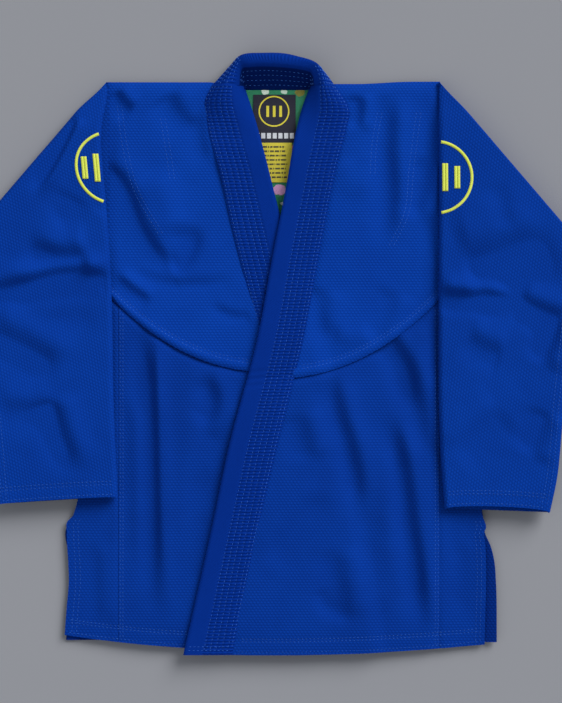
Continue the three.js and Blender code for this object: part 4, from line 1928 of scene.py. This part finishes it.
@dataclass
class Emblem:
    """A generic round badge of satin stitch, half on each face of the sleeve's overarm.

    Attributes:
        sleeve: The sleeve that it is sewn to.
        radius: Radius of its ring.
        stroke: Width of its strokes.
        height: How far they stand out above the sleeve.
        under_height: How far they stand out below it.
        section: The strokes' section, as shares of half the width and of the height.
        bars: Places out from the overarm and half lengths of its bars.
    """

    sleeve: Sleeve
    radius: float = 38.5
    stroke: float = 3.4
    height: float = 1.0
    under_height: float = 0.55
    section: tuple[Point2, ...] = (
        (-1.0, -0.3),
        (-0.8, 0.55),
        (-0.4, 0.92),
        (0.0, 1.0),
        (0.4, 0.92),
        (0.8, 0.55),
        (1.0, -0.3),
    )
    bars: tuple[Point2, ...] = ((4.0, 15.0), (7.2, 15.0), (17.0, 12.0), (20.2, 12.0))

    def _strokes(self) -> list[list[Point2]]:
        """A half ring and upright bars, as routes out from the overarm and along it."""
        inset = self.sleeve.emblem_inset
        reach = math.acos((inset + 1.5) / self.radius)
        turns = np.linspace(-reach, reach, 37)
        ring = [(self.radius * math.cos(a) - inset, self.radius * math.sin(a)) for a in turns]
        return [ring, *([(x, -half), (x, 0.0), (x, half)] for x, half in self.bars)]

    def build(self, finishes: Finishes) -> None:
        """Makes the badge's two halves."""
        for face, up in (("back", 1.0), ("front", -1.0)):
            piece = self._half(f"{self.sleeve.side.value}_badge_{face}", up)
            node = f"{self.sleeve.side.value}_emblem_{face}"
            dress(piece, finishes.embroidery, "embroidery", Hold(f"{self.sleeve.side.value}_sleeve"), node)

    def _surface(self, x: Array, y: Array, up: float) -> Array:
        """Height of the sleeve's upper or lower face."""
        if up < 0:
            return self.sleeve._under(x, y)
        near = np.abs(x - along(self.sleeve.inner_edge, y))
        drop = rounded(1 - np.clip(near / self.sleeve.edge_round, 0, 1))
        return self.sleeve._height(x, y) - 2.9 * drop

    def _half(self, name: str, up: float) -> bpy.types.Object:
        """One half, as raised strokes with a rounded section."""
        mesh_builder = bmesh.new()
        layer = mesh_builder.loops.layers.uv.new("cloth")
        height = self.height if up > 0 else self.under_height
        for stroke in self._strokes():
            knots = np.arange(len(stroke), dtype=float)
            fine = np.linspace(0, len(stroke) - 1, 8 * (len(stroke) - 1) + 1)
            route = np.stack([np.interp(fine, knots, [p[k] for p in stroke]) for k in (0, 1)], axis=1)
            route[:, 1] += self.sleeve.emblem_y
            route[:, 0] += along(self.sleeve.inner_edge, route[:, 1])
            across = sideways(route, self.stroke)
            run = np.concatenate([[0.0], np.cumsum(np.linalg.norm(np.diff(route, axis=0), axis=1))])
            rings = []
            for wide, tall in self.section:
                edge = route + across * wide
                z = self._surface(edge[:, 0], edge[:, 1], up) + up * height * tall
                spots = zip(edge[:, 0] * self.sleeve.side.sign, edge[:, 1], z)
                rings.append([mesh_builder.verts.new((a * MM, b * MM, c * MM)) for a, b, c in spots])
            for k, (first, second) in enumerate(zip(rings, rings[1:])):
                for i in range(len(route) - 1):
                    corners = (first[i], first[i + 1], second[i + 1], second[i])
                    face = mesh_builder.faces.new(corners)
                    face.smooth = True
                    for loop, place in zip(face.loops, (run[i], run[i + 1], run[i + 1], run[i])):
                        loop[layer].uv = (k * 0.0008, place * MM)
            for i in (0, -1):
                mesh_builder.faces.new([ring[i] for ring in rings])
        bmesh.ops.recalc_face_normals(mesh_builder, faces=mesh_builder.faces)
        return finished(name, mesh_builder)


LEFT_SLEEVE = Sleeve(
    Side.LEFT,
    inner_edge=[(292, 179), (166, 180), (58, 179.5), (-93, 181), (-172, 186)],
    outer_edge=[(116, 332), (-70, 312), (-136, 305.5), (-172, 298)],
    cuff_inner=-167.5,
    cuff_outer=-171.5,
    relief=Relief(
        (
            Crease(((180, 80), (215, 78), (256, 74)), -1.2, 9.0),
            Crease(((174, 66), (200, 63), (230, 61), (266, 57)), 1.8, 6.5, -4.4),
            Crease(((200, 96), (245, 108), (306, 132)), 2.4, 20.0, -4.0),
            Crease(((262, 60), (288, 48), (322, 36)), 1.4, 9.0, -3.0),
            Crease(((306, 44), (302, 14), (288, -16)), 1.0, 8.0, -3.4),
            Crease(((206, 22), (232, 8), (250, 2)), 0.6, 9.0, -2.0),
            Crease(((300, -60), (290, -88), (276, -114)), 0.6, 9.0, -2.4),
            Crease(((190, -112), (224, -78), (250, -56)), 0.6, 11.0, -1.8),
            Crease(((236, 186), (246, 160), (250, 130)), 1.4, 12.0),
        ),
        0.8,
        6.0,
    ),
    emblem_y=190.5,
    emblem_inset=4.0,
    roll=2.4,
    mouth=5.2,
)
RIGHT_SLEEVE = Sleeve(
    Side.RIGHT,
    inner_edge=[
        (292, 180),
        (262, 184),
        (230, 186.5),
        (195, 184),
        (150, 180),
        (61, 175),
        (-50, 173),
        (-155, 168.5),
    ],
    outer_edge=[(116, 332), (-60, 306), (-140, 299), (-160, 298)],
    cuff_inner=-154.5,
    cuff_outer=-162.5,
    relief=Relief(
        (
            Crease(((212, 258), (219, 240), (239, 201), (260, 171)), 2.4, 4.4, 3.6),
            Crease(((200, 166), (212, 146), (232, 130)), 1.0, 13.0, 2.0),
            Crease(((196, 106), (216, 105), (240, 109), (270, 120)), 2.2, 10.0, -4.0),
            Crease(((176, 98), (230, 97), (302, 86)), -1.4, 6.0),
            Crease(((170, 85), (200, 84), (240, 81), (275, 74), (330, 64)), 2.6, 8.0, -5.0),
            Crease(((182, 72), (196, 70), (208, 74)), -2.0, 7.0),
            Crease(((312, 34), (262, 10), (222, -16)), 0.8, 12.0, 3.0),
            Crease(((238, -44), (228, -80), (208, -132)), 0.8, 9.0, 3.0),
            Crease(((300, -56), (262, -58), (230, -50)), 0.6, 9.0, 1.6),
            Crease(((186, 40), (240, 34), (290, 48)), 1.4, 16.0),
        ),
        0.8,
        8.0,
    ),
    emblem_y=200.8,
    emblem_inset=11.0,
    roll=4.6,
    mouth=1.6,
)


# ------------------------------------------------------------------ studio
@dataclass
class Studio:
    """The surface under the jacket, the light and the camera straight above, in metres.

    Attributes:
        view_height: Height of the field of view at the jacket.
        distance: Distance of the camera.
        aim: What it looks at.
        floor_half: Half of the surface's size.
        sensor: Width of the camera's sensor, in millimetres.
    """

    view_height: float = 0.7592
    distance: float = 3.0
    aim: Point3 = (0.0086, 0.0027, 0.015)
    floor_half: float = 30.0
    sensor: float = 36.0

    def build(self) -> None:
        """Sets the stage."""
        half = self.floor_half / MM

        def place(u: Array, v: Array) -> Patch:
            return Patch(half * (2 * u - 1), half * (2 * v - 1), np.full(np.shape(u), -0.05))

        floor = cloth_grid("studio_floor", 1, 1, place)
        floor.data.materials.append(Surface("studio_surface", (0.262, 0.266, 0.288)).make())
        self._light("key_light", 3.35, 36.0, (-56.0, 0.0, -40.0))
        self._light("fill_light", 0.4, 60.0, (-48.0, 0.0, 140.0))
        world = bpy.data.worlds.new("studio_world")
        world.use_nodes = True
        world.node_tree.nodes["Background"].inputs["Color"].default_value = (0.9, 0.95, 1.0, 1.0)
        world.node_tree.nodes["Background"].inputs["Strength"].default_value = 0.42
        bpy.context.scene.world = world
        bpy.context.scene.view_settings.view_transform = "Standard"
        self._camera()

    @staticmethod
    def _light(name: str, strength: float, softness: float, turn: tuple[float, float, float]) -> None:
        """A broad distant light, turned from straight down by the given degrees."""
        data = bpy.data.lights.new(name, "SUN")
        data.energy = strength
        data.angle = math.radians(softness)
        light = bpy.data.objects.new(name, data)
        light.rotation_euler = [math.radians(a) for a in turn]
        bpy.context.scene.collection.objects.link(light)

    def _camera(self) -> None:
        """A long lens straight above the jacket, with the collar at the top."""
        data = bpy.data.cameras.new("camera")
        data.sensor_width = self.sensor
        data.lens = self.sensor * self.distance / self.view_height
        camera = bpy.data.objects.new("camera", data)
        x, y, z = self.aim
        camera.location = (x, y, z + self.distance)
        bpy.context.scene.collection.objects.link(camera)
        bpy.context.scene.camera = camera


def main() -> None:
    """Builds the jacket piece by piece, then the studio."""
    finishes = Finishes()
    BACK.build(finishes)
    Neck().build(finishes)
    for side, front in ((Side.RIGHT, RIGHT_FRONT), (Side.LEFT, LEFT_FRONT)):
        front.build(finishes)
        BANDS[side].build(finishes)
    for sleeve in (LEFT_SLEEVE, RIGHT_SLEEVE):
        sleeve.build(finishes)
    Studio().build()


if __name__ == "__main__":
    main()
